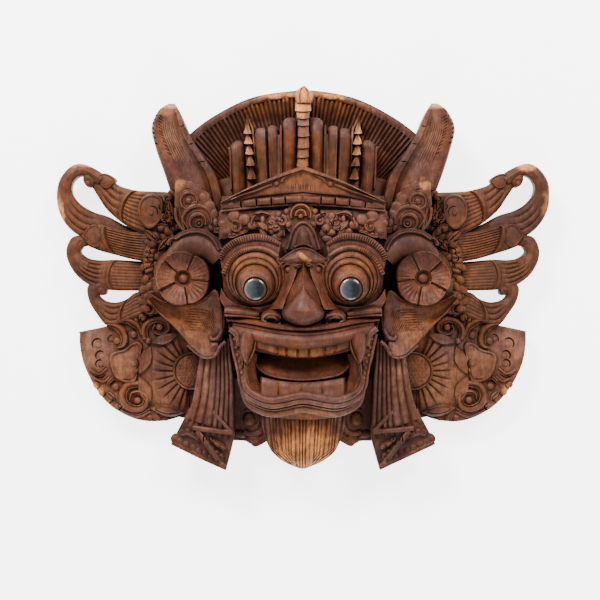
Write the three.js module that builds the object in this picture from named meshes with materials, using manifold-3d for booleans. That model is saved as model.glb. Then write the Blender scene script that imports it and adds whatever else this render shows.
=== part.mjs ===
// A hardwood wall mask of a lion-like guardian, carved in one block: a wide open mouth with fangs and tongue,
// ringed bulging eyes with inlaid discs, a gabled crown before a fluted fan, ears with flowers, and feathered
// wings and sashes.
// Millimetres. The mask lies on its back: +X is the viewer's right, +Y its top, +Z the way the face looks.
import * as THREE from "three";
import Module from "manifold-3d";

// Driving dimensions of the whole
const MASK_WIDTH = 450;
const MASK_HEIGHT = 347;
const MASK_DEPTH = 130;

// The back is flat behind the face and dressed away towards the edge, where the wood is thin
const FLAT_BACK_RADIUS = 100;
const EDGE_RISE = 12;

// The hollow behind the face, an oval bowl open to the back
const HOLLOW_WIDTH = 112;
const HOLLOW_HEIGHT = 150;
const HOLLOW_DEPTH = 34;
const HOLLOW_BELOW_MIDDLE = 22;

// The inlaid eye discs, each in a seat cut square into the eyeball, its edge sunk below the eyeball's top
const EYE_DIAMETER = 20.5;
const EYE_EDGE = 3;
const EYE_CROWN = 2.4;
const EYE_CLEARANCE = 0.3;
const EYE_SUNK = 1.1;
const EYE_SIDES = 20;

// How far the cuts run out past the wood
const CUT_BEYOND = 30;

// Counts of the repeated carving
const FAN_FLUTES = 36;
const MIDDLE_SCALES = 7;
const SIDE_SCALES = 6;
const PETALS = 5;
const UPPER_TEETH = 8;
const LOWER_TEETH = 6;
const BEARD_LOCKS = 13;
const BROW_NOTCHES = 9;
const GABLE_BEADS = 9;
const EAR_GROOVES = 4;
const SASH_PLEATS = 4;
const WING_RAYS = 8;

// The carving grid: x runs to 100 at the widest point, y and z in like steps. All carving is placed in these
// shares of the mask's own width, height and depth.
const GRID_HALF_WIDTH = 100;
const GRID_TOP = 77.2;
const GRID_BOTTOM = -77.2;
const GRID_DEPTH = 58;
const FLOOR = -2;
const X_STEP = MASK_WIDTH / 2 / GRID_HALF_WIDTH;
const Y_STEP = MASK_HEIGHT / (GRID_TOP - GRID_BOTTOM);
const Z_STEP = MASK_DEPTH / GRID_DEPTH;

// The middle of each inlay, and of its eyeball, with the eyeball's level
const EYE_CENTRE = [18.7, -4.3];
const EYEBALL_TOP = 47.8;
const EYE_LEVEL = EYEBALL_TOP * Z_STEP - EYE_SUNK;

const WOOD = new THREE.MeshStandardMaterial({ color: 0x6b3a1f, roughness: 0.45, metalness: 0 });
const SHELL = new THREE.MeshStandardMaterial({ color: 0x5d6d73, roughness: 0.12, metalness: 0 });

const wasm = await Module();
wasm.setup();

// Small helpers

const lerp = THREE.MathUtils.lerp;
const steps = (count) => Array.from({ length: count + 1 }, (_, i) => i / count);
const arched = (v) => Math.sqrt(Math.max(0, 1 - (2 * v - 1) ** 2));
const rippled = (t, count) => 0.5 - 0.5 * Math.cos(2 * Math.PI * count * t);

// A smooth line through the points of an outline: gives [x, y] for a share t of the way along.
function line(points) {
  const curve = new THREE.SplineCurve(points.map(([x, y]) => new THREE.Vector2(x, y)));
  return (t) => curve.getPoint(t).toArray();
}

// Straight steps through a list of [share, value] pairs.
function ramp(pairs) {
  return (t) => {
    const next = pairs.findIndex(([at]) => at >= t);
    if (next < 0) return pairs[pairs.length - 1][1];
    if (next === 0) return pairs[0][1];
    const [t0, a] = pairs[next - 1];
    const [t1, b] = pairs[next];
    return lerp(a, b, (t - t0) / (t1 - t0));
  };
}

// Makes a solid of points on the carving grid and triangles, in millimetres, with its faces turned outwards.
function solidOf(points, triangles) {
  const middle = (GRID_TOP + GRID_BOTTOM) / 2;
  const vertices = points.map(([x, y, z]) => [x * X_STEP, (y - middle) * Y_STEP, z * Z_STEP]);
  return solidInMillimetres(vertices, triangles);
}

function solidInMillimetres(vertices, triangles) {
  let volume = 0;
  for (const [a, b, c] of triangles) {
    const [p, q, r] = [a, b, c].map((i) => new THREE.Vector3(...vertices[i]));
    volume += p.dot(q.cross(r));
  }
  const facing = volume < 0 ? triangles.map(([a, b, c]) => [a, c, b]) : triangles;
  const vertProperties = new Float32Array(vertices.flat());
  const triVerts = new Uint32Array(facing.flat());
  return new wasm.Manifold(new wasm.Mesh({ numProp: 3, vertProperties, triVerts }));
}

// A closed solid under a front sheet of points, for the shares in us and vs, down to a level or a back sheet.
function sheet(us, vs, front, back = FLOOR) {
  const rows = us.length;
  const columns = vs.length;
  const points = [];
  const fronts = us.flatMap((u) => vs.map((v) => front(u, v)));
  points.push(...fronts);
  us.forEach((u, i) =>
    vs.forEach((v, j) => {
      const over = fronts[i * columns + j];
      points.push(typeof back === "number" ? [over[0], over[1], back] : back(u, v, over));
    }),
  );
  const at = (layer, i, j) => (layer * rows + i) * columns + j;
  const triangles = [];
  const quad = (a, b, c, d) => triangles.push([a, b, c], [a, c, d]);
  for (let i = 0; i + 1 < rows; i++) {
    for (let j = 0; j + 1 < columns; j++) {
      quad(at(0, i, j), at(0, i + 1, j), at(0, i + 1, j + 1), at(0, i, j + 1));
      quad(at(1, i, j + 1), at(1, i + 1, j + 1), at(1, i + 1, j), at(1, i, j));
    }
    quad(at(1, i, 0), at(1, i + 1, 0), at(0, i + 1, 0), at(0, i, 0));
    quad(at(0, i, columns - 1), at(0, i + 1, columns - 1), at(1, i + 1, columns - 1), at(1, i, columns - 1));
  }
  for (let j = 0; j + 1 < columns; j++) {
    quad(at(0, 0, j), at(0, 0, j + 1), at(1, 0, j + 1), at(1, 0, j));
    quad(at(1, rows - 1, j), at(1, rows - 1, j + 1), at(0, rows - 1, j + 1), at(0, rows - 1, j));
  }
  return solidOf(points, triangles);
}

// A closed round solid about a middle point: front(angle, share) gives the points of each ring.
function disc(angles, rings, front, back = FLOOR) {
  const middle = front(0, 0);
  const points = [middle, [middle[0], middle[1], back]];
  for (const ring of rings) for (const angle of angles) points.push(front(angle, ring));
  for (const angle of angles) {
    const [x, y] = front(angle, rings[rings.length - 1]);
    points.push([x, y, back]);
  }
  const count = angles.length;
  const at = (ring, i) => 2 + ring * count + (i % count);
  const triangles = [];
  for (let i = 0; i < count; i++) {
    triangles.push([0, at(0, i), at(0, i + 1)]);
    for (let ring = 0; ring < rings.length; ring++) {
      triangles.push([at(ring, i), at(ring + 1, i), at(ring + 1, i + 1)]);
      triangles.push([at(ring, i), at(ring + 1, i + 1), at(ring, i + 1)]);
    }
    triangles.push([1, at(rings.length, i + 1), at(rings.length, i)]);
  }
  return solidOf(points, triangles);
}

const turns = (count, start = 0) => steps(count).slice(0, -1).map((t) => start + 2 * Math.PI * t);

// A patch between two edges that run side by side, with its height given by the shares along and across.
function between(us, vs, edgeA, edgeB, height, back) {
  const a = line(edgeA);
  const b = line(edgeB);
  const front = (u, v) => {
    const [ax, ay] = a(u);
    const [bx, by] = b(u);
    return [lerp(ax, bx, v), lerp(ay, by, v), height(u, v)];
  };
  return sheet(us, vs, front, back);
}

// A band along a line, with a half width for each share of the way and a height for each share of both.
function band(us, vs, path, halfWidth, height, back) {
  const centre = line(path);
  const front = (u, v) => {
    const [x0, y0] = centre(Math.max(0, u - 0.01));
    const [x1, y1] = centre(Math.min(1, u + 0.01));
    const length = Math.hypot(x1 - x0, y1 - y0);
    const [x, y] = centre(u);
    const across = (2 * v - 1) * halfWidth(u);
    return [x - ((y1 - y0) / length) * across, y + ((x1 - x0) / length) * across, height(u, v)];
  };
  return sheet(us, vs, front, back);
}

// A round bead, cut to a low point.
function bead(x, y, radius, top, rise, sides = 5) {
  const front = (angle, share) => [
    x + Math.cos(angle) * radius * share,
    y + Math.sin(angle) * radius * share,
    top + rise * (1 - share),
  ];
  return disc(turns(sides), [1], front);
}

// A small curl: a round bud with a sunk ring about its middle.
function curl(x, y, radius, top, sides = 6) {
  const level = ramp([[0, 0.6], [0.5, -0.1], [1, 0.3]]);
  const front = (angle, share) => [
    x + Math.cos(angle) * radius * share,
    y + Math.sin(angle) * radius * share,
    top + radius * level(share),
  ];
  return disc(turns(sides), [0.5, 1], front);
}

// A tendril that winds in to a bead: from the angle start it makes the turns given, one way or the other.
function scroll(x, y, radius, start, wound, top) {
  const path = steps(7).map((t) => {
    const angle = start + wound * 2 * Math.PI * t;
    const reach = radius * (1 - 0.62 * t);
    return [x + Math.cos(angle) * reach, y + Math.sin(angle) * reach];
  });
  const width = (u) => radius * (0.2 - 0.05 * u);
  const height = (u, v) => top + radius * (0.22 * arched(v) + 0.12 * u);
  const tendril = band(steps(6), [0, 0.5, 1], path, width, height);
  return tendril.add(bead(x, y, radius * 0.34, top, radius * 0.4));
}

function mirrored(solid) {
  const mesh = solid.getMesh();
  const vertices = [];
  for (let i = 0; i < mesh.numVert; i++) {
    const [x, y, z] = mesh.vertProperties.subarray(i * mesh.numProp, i * mesh.numProp + 3);
    vertices.push([-x, y, z]);
  }
  const triangles = [];
  for (let i = 0; i < mesh.numTri; i++) triangles.push([...mesh.triVerts.subarray(i * 3, i * 3 + 3)]);
  return solidInMillimetres(vertices, triangles);
}

const joined = (solids) => solids.reduce((sum, solid) => sum.add(solid));

// The crown

// The fan behind the crown, fluted like a shell, with a plain raised rim.
function backFan() {
  const centreY = 8.9;
  const reach = 50 * THREE.MathUtils.DEG2RAD;
  const around = (u, radius, height) => {
    const angle = lerp(-reach, reach, u);
    return [Math.sin(angle) * radius, centreY + Math.cos(angle) * radius, height];
  };
  const web = sheet(steps(FAN_FLUTES * 2), [0, 1], (u, v) =>
    around(u, lerp(32, 66.4, v), lerp(9.4, 10.2, v) - 0.9 * rippled(u, FAN_FLUTES)));
  const rim = sheet(steps(FAN_FLUTES / 2), [0, 1], (u, v) => around(u, lerp(65.6, 68, v), 12 - 0.8 * v));
  return web.add(rim);
}

// The rounded folds of the crown that stand in front of the fan, and the block that carries them.
function crownFolds() {
  const folds = [
    { top: [25.9, 54.6], foot: [23.0, 33], half: 2.6, front: 24 },
    { top: [16.9, 60.3], foot: [15.9, 36], half: 2.5, front: 27 },
    { top: [11.6, 60.9], foot: [11.1, 38], half: 2.5, front: 28 },
    { top: [5.6, 64.5], foot: [5.2, 40], half: 2.9, front: 29 },
  ];
  const carrier = between(
    steps(2), [0, 1], [[0, 28], [0, 61]], [[31, 28], [28, 54]],
    (u, v) => lerp(20, 12, u) - 0.6 * v,
  );
  const made = folds.map(({ top, foot, half, front }) => {
    const width = ramp([[0, half * 0.9], [0.88, half], [1, half * 0.5]]);
    const level = ramp([[0, front + 3], [0.88, front], [1, front - 4]]);
    const height = (u, v) => level(u) - 3 * (1 - arched(0.1 + 0.8 * v));
    return band([0, 0.88, 1], [0, 0.28, 0.72, 1], [foot, top], width, height);
  });
  return joined([carrier, ...made]);
}

// A crest of stacked leaf scales, each widest and highest at its lower edge.
function crest(foot, top, half, count, levelFoot, levelTop, rise, vs) {
  const us = steps(count).slice(0, -1).flatMap((t) => [t + 0.001, t + 0.97 / count]);
  const within = (u) => (u * count) % 1;
  const width = (u) => half * (1 - 0.45 * within(u));
  const height = (u, v) => lerp(levelFoot, levelTop, u) - rise * within(u) - 2.4 * Math.abs(2 * v - 1);
  return band([...us, 1], vs, [foot, top], (u) => (u === 1 ? half * 0.12 : width(u)), height);
}

function crests() {
  const side = crest([20.2, 37], [22.5, 66], 1.8, SIDE_SCALES, 33, 24, 1.4, [0, 1]);
  const middle = crest([0, 42], [0, 77.2], 3.1, MIDDLE_SCALES, 38, 30, 1.6, [0, 0.5, 1]);
  return joined([middle, side, mirrored(side)]);
}

// The low gable across the brow with its raised edge, and the row of beads under it.
function gable() {
  const ridge = [[0, 44.5], [16, 38], [32.6, 30.2]];
  const eave = [[0, 33.7], [16, 32.4], [32.6, 28.8]];
  const face = ramp([[0, 43], [0.12, 43], [0.2, 41.6], [0.8, 41], [1, 42.4]]);
  const height = (u, v) => face(v) - 4 * u * u;
  const half = between(steps(3), [0, 0.12, 0.2, 0.8, 1], ridge, eave, height);
  const path = [[-32.6, 28.6], [-16, 30.2], [0, 31.2], [16, 30.2], [32.6, 28.6]];
  const us = steps(GABLE_BEADS).flatMap((t) => [t - 0.016, t, t + 0.016]).slice(1, -1);
  const rise = (u) => (Math.abs(u * GABLE_BEADS - Math.round(u * GABLE_BEADS)) < 0.01 ? 0 : 2);
  const beads = band(us, [0, 1], path, () => 1.5, (u) => 39 - 4 * (2 * u - 1) ** 2 + rise(u));
  return joined([half, mirrored(half), beads]);
}

// The tall feather leaf at each side of the fan: a raised inner rim and a slanting cut at the tip.
function tallLeaf() {
  const inner = [[31.5, 27], [34.0, 40.4], [39.2, 48.4], [45.3, 57.6], [48.4, 68.4]];
  const outer = [[49, 22], [56.5, 44], [60.5, 54.8], [60.6, 62.6], [53.6, 71]];
  const level = ramp([[0, 17], [0.85, 24], [0.9, 24.5], [1, 20]]);
  const vs = [0, 0.14, 0.18, 0.6, 1];
  const ridge = ramp([[0, 1.2], [0.14, 1.4], [0.18, 0], [0.6, 0.9], [1, -1.6]]);
  const height = (u, v) => level(u) + ridge(v);
  const underside = (u, v, [x, y]) => [x, y, FLOOR - 1 + 16 * u * u];
  return between([0, 0.3, 0.6, 0.88, 1], vs, inner, outer, height, underside);
}

// The quarter-round leaf in front of it, with a beaded edge and two scrolls.
function brimLeaf() {
  const outer = [[51, 40], [51, 35], [50.9, 31], [50, 26], [48.8, 21]];
  const inner = [[50.2, 40], [42, 37], [37.2, 31], [34, 24], [31.8, 16]];
  const leaf = between(steps(3), [0, 1], outer, inner, (u, v) => 30.5 + 1.5 * v - u);
  const edge = line([[47, 39], [41.4, 35.6], [37.4, 30.4], [34.7, 25], [33, 19.4]]);
  const beads = steps(3).map((t) => bead(...edge(t), 2.2, 31, 2.2));
  const small = bead(45.8, 31.2, 2.8, 31, 2.4);
  const large = curl(42.4, 25.2, 4.6, 31, 7);
  return joined([leaf, ...beads, small, large]);
}

// The sides

// The rough block between the face and the flowers that carries the ears, the plumes and the leaves.
function sideBlock() {
  const inner = [[22, 43], [22, 18], [22, 0], [22, -18], [24, -34]];
  const outer = [[54, 36], [63.5, 24], [64.5, 4], [62.5, -13], [46, -30]];
  const block = between(steps(4), [0, 1], inner, outer, (u, v) => 15 - 5 * v);
  const web = between([0, 1], [0, 1], [[20, -20], [20, -54]], [[48, -14], [48, -50]], () => 8);
  return joined([block, web]);
}

// A plume: a strip between two edges with a rounded, fluted face. The flutes fade towards the tip.
function plume(edgeA, edgeB, us, level, flutes) {
  const vs = flutes > 1 ? steps(flutes * 2) : [0, 0.3, 0.7, 1];
  const groove = (u, v) => (flutes > 1 ? 1.2 * (1 - u) * rippled(v, flutes) : 0);
  const height = (u, v) => level(u) - 1.5 * (1 - arched(0.08 + 0.84 * v)) - groove(u, v);
  return between(us, vs, edgeA, edgeB, height);
}

function plumes() {
  const topLeaf = plume(
    [[53, 35], [60, 35.3], [66, 35.7], [71, 36.9], [75.4, 38.5], [79, 41.5], [82.5, 42.6]],
    [[58, 16], [65, 18.6], [71, 21.4], [75.5, 24.6], [80, 28.9], [83, 33.4], [85.8, 37.8]],
    [0, 0.3, 0.65, 1], ramp([[0, 17], [0.7, 14], [1, 13]]), 2,
  );
  const topCurl = plume(
    [[64, 19.6], [72, 21.8], [79.5, 25.7], [85.6, 27.6], [90.4, 30.4], [93.3, 33.7], [94.2, 36.9],
      [93.4, 39.8], [91, 41.9], [88.2, 41.9], [85.5, 39.8], [83.5, 38.5]],
    [[64, 17.4], [73, 18.2], [82, 18.4], [89, 17.2], [95, 21], [98.8, 27], [100, 34],
      [98.9, 40.5], [94.8, 45.6], [90, 46.9], [84.5, 45], [80.5, 42.3]],
    [0, 0.14, 0.28, 0.42, 0.54, 0.65, 0.76, 0.88, 1], ramp([[0, 12], [0.4, 14], [1, 14.5]]), 1,
  );
  const middleLeaf = plume(
    [[62, 18.8], [70, 19.2], [79, 21.4], [84, 22.8], [88.2, 20.6], [92, 17]],
    [[62, 6.7], [70.5, 8.1], [75.5, 9.5], [82.5, 11.7], [87, 13.6], [89.5, 14.9]],
    [0, 0.3, 0.65, 1], ramp([[0, 16], [0.75, 14], [1, 12]]), 2,
  );
  const middleCurl = plume(
    [[60, 6.9], [70, 7.4], [77, 7.8], [83, 7.7], [87.6, 8.6], [90.3, 10.8], [89.9, 12.6], [88.2, 14.2],
      [86.8, 15.2]],
    [[60, -4.6], [70, -4.6], [78, -4.5], [85, -3.3], [91.3, 0.8], [95.3, 7], [96, 12.5], [93.5, 17.3],
      [88.8, 18]],
    [0, 0.2, 0.4, 0.6, 0.75, 0.88, 1], ramp([[0, 13], [0.5, 13.5], [1, 13.5]]), 1,
  );
  const lowCurl = plume(
    [[60, -4.4], [67.7, -5.2], [71.6, -8], [76.2, -9.4], [80.4, -8.9], [83, -6.9], [81.8, -4.9],
      [79.6, -3.8]],
    [[57, -14], [66, -15], [73, -17.4], [79.5, -19], [84, -13.8], [87, -8.5], [87.6, -3], [84, -0.4]],
    steps(6), ramp([[0, 14], [0.6, 12.5], [1, 13]]), 1,
  );
  const knuckles = [
    bead(78.6, 39.6, 3.2, 13.6, 2.4), bead(85.4, 39.4, 2.7, 13.6, 2.2), bead(84, 18.2, 4, 13, 3.2, 6),
  ];
  return joined([topLeaf, topCurl, middleLeaf, middleCurl, lowCurl, ...knuckles]);
}

// The upright band of small leaves that the plumes grow from.
function plumeRoots() {
  const bud = (x, y, halfWidth, halfHeight, top, sides) =>
    disc(turns(sides), [1], (angle, share) => [
      x + halfWidth * share * Math.cos(angle), y + halfHeight * share * Math.sin(angle), top - 2.6 * share,
    ]);
  const leaves = [14.5, 4.5, -5].map((y, i) => bud(60.5 - 0.4 * i, y, 3.8, 5.8, 21, 6));
  return joined([bud(60.5, 27.2, 5.2, 7.6, 20.4, 7), ...leaves]);
}

// The fat crescent over each flower, the top of the ear.
function earCrescent() {
  const path = [[52, 12], [47.2, 15.6], [42.3, 16.9], [38, 15.4], [34.4, 11]];
  const width = ramp([[0, 1.2], [0.3, 3], [0.6, 3.2], [1, 1.4]]);
  return band(steps(6), [0, 0.2, 0.5, 0.8, 1], path, width, (u, v) => 31 + 4 * arched(v));
}

// The flower in front of each ear: overlapping petals tipped up along one side, a sunk ring and a boss.
function earFlower() {
  const [x, y] = [47.4, 0];
  const radius = 10.9;
  const firstPetal = 0.35;
  const petalTurn = (2 * Math.PI) / PETALS;
  const shares = [0.02, 0.35, 0.65, 0.98];
  const angles = turns(PETALS, firstPetal).flatMap((a) => shares.map((p) => a + p * petalTurn));
  const phase = (angle) => ((angle - firstPetal) / petalTurn) % 1;
  const level = ramp([[0, 32.4], [0.26, 33], [0.34, 36.6], [1, 38.4]]);
  const front = (angle, share) => {
    const p = phase(angle);
    const reach = radius * share * (share > 0.9 ? 0.93 + 0.07 * Math.sqrt(Math.sin(Math.PI * p)) : 1);
    const tip = share > 0.3 ? 1.5 * (0.5 - p) : 0;
    return [x + Math.cos(angle) * reach, y + Math.sin(angle) * reach, level(share) + tip];
  };
  return joined([disc(angles, [0.26, 0.34, 1], front), bead(x, y, 2.3, 34, 3.4, 6)]);
}

// The ear: a hanging shell with a broad smooth lower rim and short grooves on the side of the face.
function ear() {
  const upper = [
    [61, -5.5], [54.7, -11], [46.8, -13.6], [38.8, -11.6], [34, -9], [32.3, -13], [32, -20.4], [32.6, -25.6],
  ];
  const lower = [
    [61.6, -8.4], [57, -14], [52, -18.6], [47.6, -23.4], [43.6, -27.8], [39.8, -30.6], [36.1, -31.2],
    [33.4, -28.6],
  ];
  const dish = ramp([[0, 1.6], [0.12, 0], [0.6, -2.2], [0.84, 1.4], [1, -1]]);
  const grooves = 0.45;
  const grooved = (u, v) =>
    u > grooves && v > 0.05 && v < 0.7 ? 0.9 * rippled((u - grooves) / (1 - grooves), EAR_GROOVES) : 0;
  const us = [0, 0.22, ...steps(EAR_GROOVES * 2).map((t) => lerp(grooves, 1, t))];
  const height = (u, v) => 29 + 4 * Math.sin(Math.PI * u) + dish(v) - grooved(u, v);
  const shell = between(us, [0, 0.6, 0.84, 1], upper, lower, height);
  return joined([shell, bead(34.4, -27.4, 3, 29, 3, 6)]);
}

// The wings and the sashes

const WING_CENTRE = [44.9, -37.2];
const WING_LEVEL = 10.5;

// The carved plate under each plume: half a sun with rays at its middle, scrolls and petals towards the edge.
function wing() {
  const [cx, cy] = WING_CENTRE;
  const edge = line([
    [46, -10], [56, -10.5], [68.2, -14.6], [79.6, -18.9], [90.9, -21.3], [90.9, -21.7], [90.7, -26.8],
    [88.9, -35.3], [84.8, -43.8], [78.8, -50.7], [71.4, -55.6], [64.1, -57.8], [56, -57.6], [48.3, -55.2],
    [40, -50], [34, -44],
  ]);
  const us = steps(WING_RAYS * 2 + 1);
  const rings = [6, 20];
  const front = (u, v) => {
    const [ex, ey] = edge(u);
    const reach = Math.hypot(ex - cx, ey - cy);
    const ring = Math.round(v * rings.length);
    const radius = ring < rings.length ? Math.min(rings[ring], reach * 0.97) : reach;
    const share = radius / reach;
    const rays = ring === 1 ? 1.6 * rippled(u, WING_RAYS + 0.5) : 0;
    const level = WING_LEVEL + 2 * (1 - share) - rays;
    return [lerp(cx, ex, share), lerp(cy, ey, share), level];
  };
  const plate = sheet(us, steps(rings.length), front);
  const sun = disc(turns(10), [1], (angle, share) => [
    cx + 8 * share * Math.cos(angle), cy + 8 * share * Math.sin(angle), WING_LEVEL + 5 - 1.6 * share,
  ]);
  return joined([plate, sun, ...wingOrnament()]);
}

// A pointed oval petal from one point to another, ridged or hollowed along its middle.
function petal(from, to, half, top, rise) {
  const mid = [(from[0] + to[0]) / 2, (from[1] + to[1]) / 2];
  const width = (u) => half * Math.sin(Math.PI * lerp(0.04, 0.96, u));
  const height = (u, v) => top + rise * arched(v) * Math.sin(Math.PI * lerp(0.1, 0.9, u));
  return band([0, 0.3, 0.7, 1], [0, 0.5, 1], [from, mid, to], width, height);
}

function wingOrnament() {
  const top = WING_LEVEL;
  const shield = between(
    steps(3), steps(2),
    [[65.2, -26], [66.8, -32], [67.4, -37], [66.6, -41.6]],
    [[70.4, -26.8], [78.2, -31], [78.2, -37.4], [71, -42.4]],
    (u, v) => top + 1.6 + 1.6 * arched(v),
  );
  return [
    shield,
    petal([61.2, -26.5], [66.6, -38.8], 3, top + 1.6, 2),
    petal([66.6, -39.2], [61.2, -50.6], 3, top + 1.6, 2),
    petal([49, -54.4], [62, -51.2], 2.8, top + 0.6, 2),
    curl(58.6, -19.8, 4, top + 1.2),
    curl(69.4, -48.4, 4.4, top + 0.8),
    curl(76.6, -24.6, 3, top + 0.8),
    bead(77.4, -44.4, 2.6, top + 0.8, 2),
  ];
}

// The pleated sash end that hangs below each ear, folded over at its foot.
function sash() {
  const inner = [[29.4, -24], [28.2, -38.6], [27.8, -50.6], [27.6, -63]];
  const outer = [[40, -24], [42.5, -38.6], [44.4, -48], [47, -56]];
  const level = ramp([[0, 27], [0.5, 26], [1, 22]]);
  const pleat = (u, v) => (u < 1 ? 1.3 * rippled(v, SASH_PLEATS) : 0);
  const height = (u, v) => level(u) - pleat(u, v) - 1.5 * Math.abs(v - 0.4);
  const pleats = between([0, 0.5, 0.88, 1], steps(SASH_PLEATS * 2), inner, outer, height);
  const foot = between(
    [0, 0.5, 1], [0, 1], [[27.7, -59], [27.6, -64], [31, -77.2]], [[46, -52], [48.3, -57], [53.3, -66.6]],
    (u) => lerp(22.6, 19.6, u), (u, v, [x, y]) => [x, y, lerp(8, 12, u)],
  );
  const creases = [[[28.6, -61.4], [36.6, -53]], [[28.9, -62], [44.2, -60.2]], [[31.6, -75.6], [42.4, -61.6]]]
    .map((path) => band([0, 1], [0, 1], path, () => 0.8, (u) => 24 - 1.6 * u, 16));
  return joined([pleats, foot, ...creases]);
}

// The scrolled bracket between sash and beard.
function bracket() {
  const upper = [[30, -40], [22, -42], [14, -46]];
  const lower = [[28, -65.9], [19, -68.6], [12, -65.4]];
  const plate = between(steps(3), [0, 1], upper, lower, (u, v) => 10 - v);
  return joined([plate, curl(22, -57.4, 3.6, 10)]);
}

// The face

// Half the width of the face at a share of its height, from the brow down to the chin.
const FACE_EDGE = [
  [32.4, 33], [33.4, 24], [33.4, 14], [32, 0], [30.4, -15], [29, -22], [27.8, -29], [26, -36], [24.6, -43],
  [22.4, -49], [15, -54.6],
];

function faceBlock() {
  const edge = line(FACE_EDGE);
  const level = ramp([[0, 33], [0.3, 37], [0.45, 40], [0.6, 38], [0.85, 37], [1, 33]]);
  const front = (u, v) => {
    const [half, y] = edge(u);
    const side = 2 * v - 1;
    return [side * half, y - (u > 0.9 ? 1.4 * (1 - side * side) : 0), level(u) - 7 * side ** 4];
  };
  return sheet(steps(6), [0, 0.14, 0.86, 1], front);
}

// The space that is cut out between the jaws.
function mouthCavity() {
  const roof = [[-22, -26], [-17.5, -29], [0, -31.4], [17.5, -29], [22, -26]];
  const foot = [[-21.5, -41], [-17, -44.6], [0, -46], [17, -44.6], [21.5, -41]];
  return between(steps(8), steps(2), roof, foot, () => 70, 25);
}

// An arc of carving round an eye.
function eyeArc(path, half, top, notches = 0) {
  if (!notches) return band(steps(8), [0, 0.5, 1], path, () => half, (u, v) => top - 1.6 + 1.6 * arched(v));
  return band(steps(notches * 2), [0, 1], path, () => half, (u) => top - rippled(u, notches));
}

function eyeRings() {
  const [x, y] = EYE_CENTRE;
  const brow = [[32.8, 7], [30.3, 12.4], [26.1, 15.4], [19.7, 17.1], [13.4, 16.2], [8.4, 13]];
  const lid = [[31, -1], [29.9, 5.2], [26.1, 10], [19.7, 12], [13.4, 10.3], [9, 6]];
  const lash = steps(8).map((t) => {
    const angle = lerp(-0.5, Math.PI + 0.4, t);
    return [x + 10.2 * Math.cos(angle), y + 3 + 10 * Math.sin(angle)];
  });
  const radius = 8.7;
  const ball = (angle, share) => [
    x + radius * share * Math.cos(angle),
    y + 1.4 * share + radius * share * Math.sin(angle),
    EYEBALL_TOP - 6 * share ** 2,
  ];
  return joined([
    disc(turns(14), [0.75, 1], ball),
    eyeArc(brow, 1.4, 43, BROW_NOTCHES),
    eyeArc(lid, 1.2, 44.2),
    eyeArc(lash, 0.9, 45.6),
  ]);
}

// The pointed nose with its smooth bulb, and the curled nostrils.
function nose() {
  const side = line([[1.2, 6], [3.6, 0], [6.6, -6], [9.8, -12], [10, -15], [5.6, -18.2], [1, -19]]);
  const ridge = ramp([[0, 47], [0.17, 49], [0.33, 52], [0.5, 56], [0.66, 58], [0.85, 56.6], [1, 50]]);
  const front = (u, v) => {
    const [half, y] = side(u);
    const across = 2 * v - 1;
    return [across * half, y, ridge(u) - lerp(4, 9, u) * Math.abs(across) ** 1.4];
  };
  const bulb = sheet(steps(7), [0, 0.2, 0.5, 0.8, 1], front);
  const nostril = scroll(13.6, -15.4, 3.4, 2.6, -1, 43);
  const volute = curl(5.8, 4.6, 2.7, 41.5, 6);
  const drop = petal([0, 10], [0, 21], 2.6, 38, 5);
  const stone = petal([-4.2, 8], [4.2, 8], 2, 41, 4.4);
  return joined([bulb, nostril, mirrored(nostril), volute, mirrored(volute), drop, stone]);
}

// How far the muzzle comes forward at a distance from the middle.
const muzzle = (x, front, back) => front - (front - back) * Math.min(1, Math.abs(x) / 29) ** 2.2;

// The upper lip: a sagging band with folds along it, and a roll on each cheek.
function upperLip() {
  const high = [
    [-30.4, -16.4], [-17.6, -17], [-9, -19.4], [0, -20.6], [9, -19.4], [17.6, -17], [30.4, -16.4],
  ];
  const low = [[-28.8, -21], [-22, -24.8], [-11, -27.6], [0, -28.6], [11, -27.6], [22, -24.8], [28.8, -21]];
  const folds = ramp([[0, -1.6], [0.16, 0.8], [0.3, -0.8], [0.48, 0.8], [0.8, 1.2], [1, -1.2]]);
  const height = (u, v) => muzzle((u - 0.5) * 58, 48, 37) + folds(v);
  const lip = between(steps(10), [0, 0.16, 0.3, 0.48, 0.8, 1], high, low, height);
  const cheek = band(
    steps(4), [0, 0.5, 1], [[29.6, -12.4], [24, -13.4], [17.6, -13.6]],
    ramp([[0, 0.8], [0.5, 2], [1, 1]]), (u, v) => 38 + 4.4 * arched(v),
  );
  return joined([lip, cheek, mirrored(cheek)]);
}

// A row of teeth between two edges, each with a gap cut beside it.
function teeth(count, edgeA, edgeB, front, back, root) {
  const us = steps(count).flatMap((t) => [t - 0.014, t, t + 0.014]).slice(1, -1);
  const gap = (u) => (Math.abs(u * count - Math.round(u * count)) < 0.01 ? 1.8 : 0);
  const half = Math.abs(edgeA[0][0]);
  const height = (u, v) => muzzle((2 * u - 1) * half, front, back) - gap(u) - 0.8 * v;
  return between(us, [0, 1], edgeA, edgeB, height, root);
}

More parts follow.
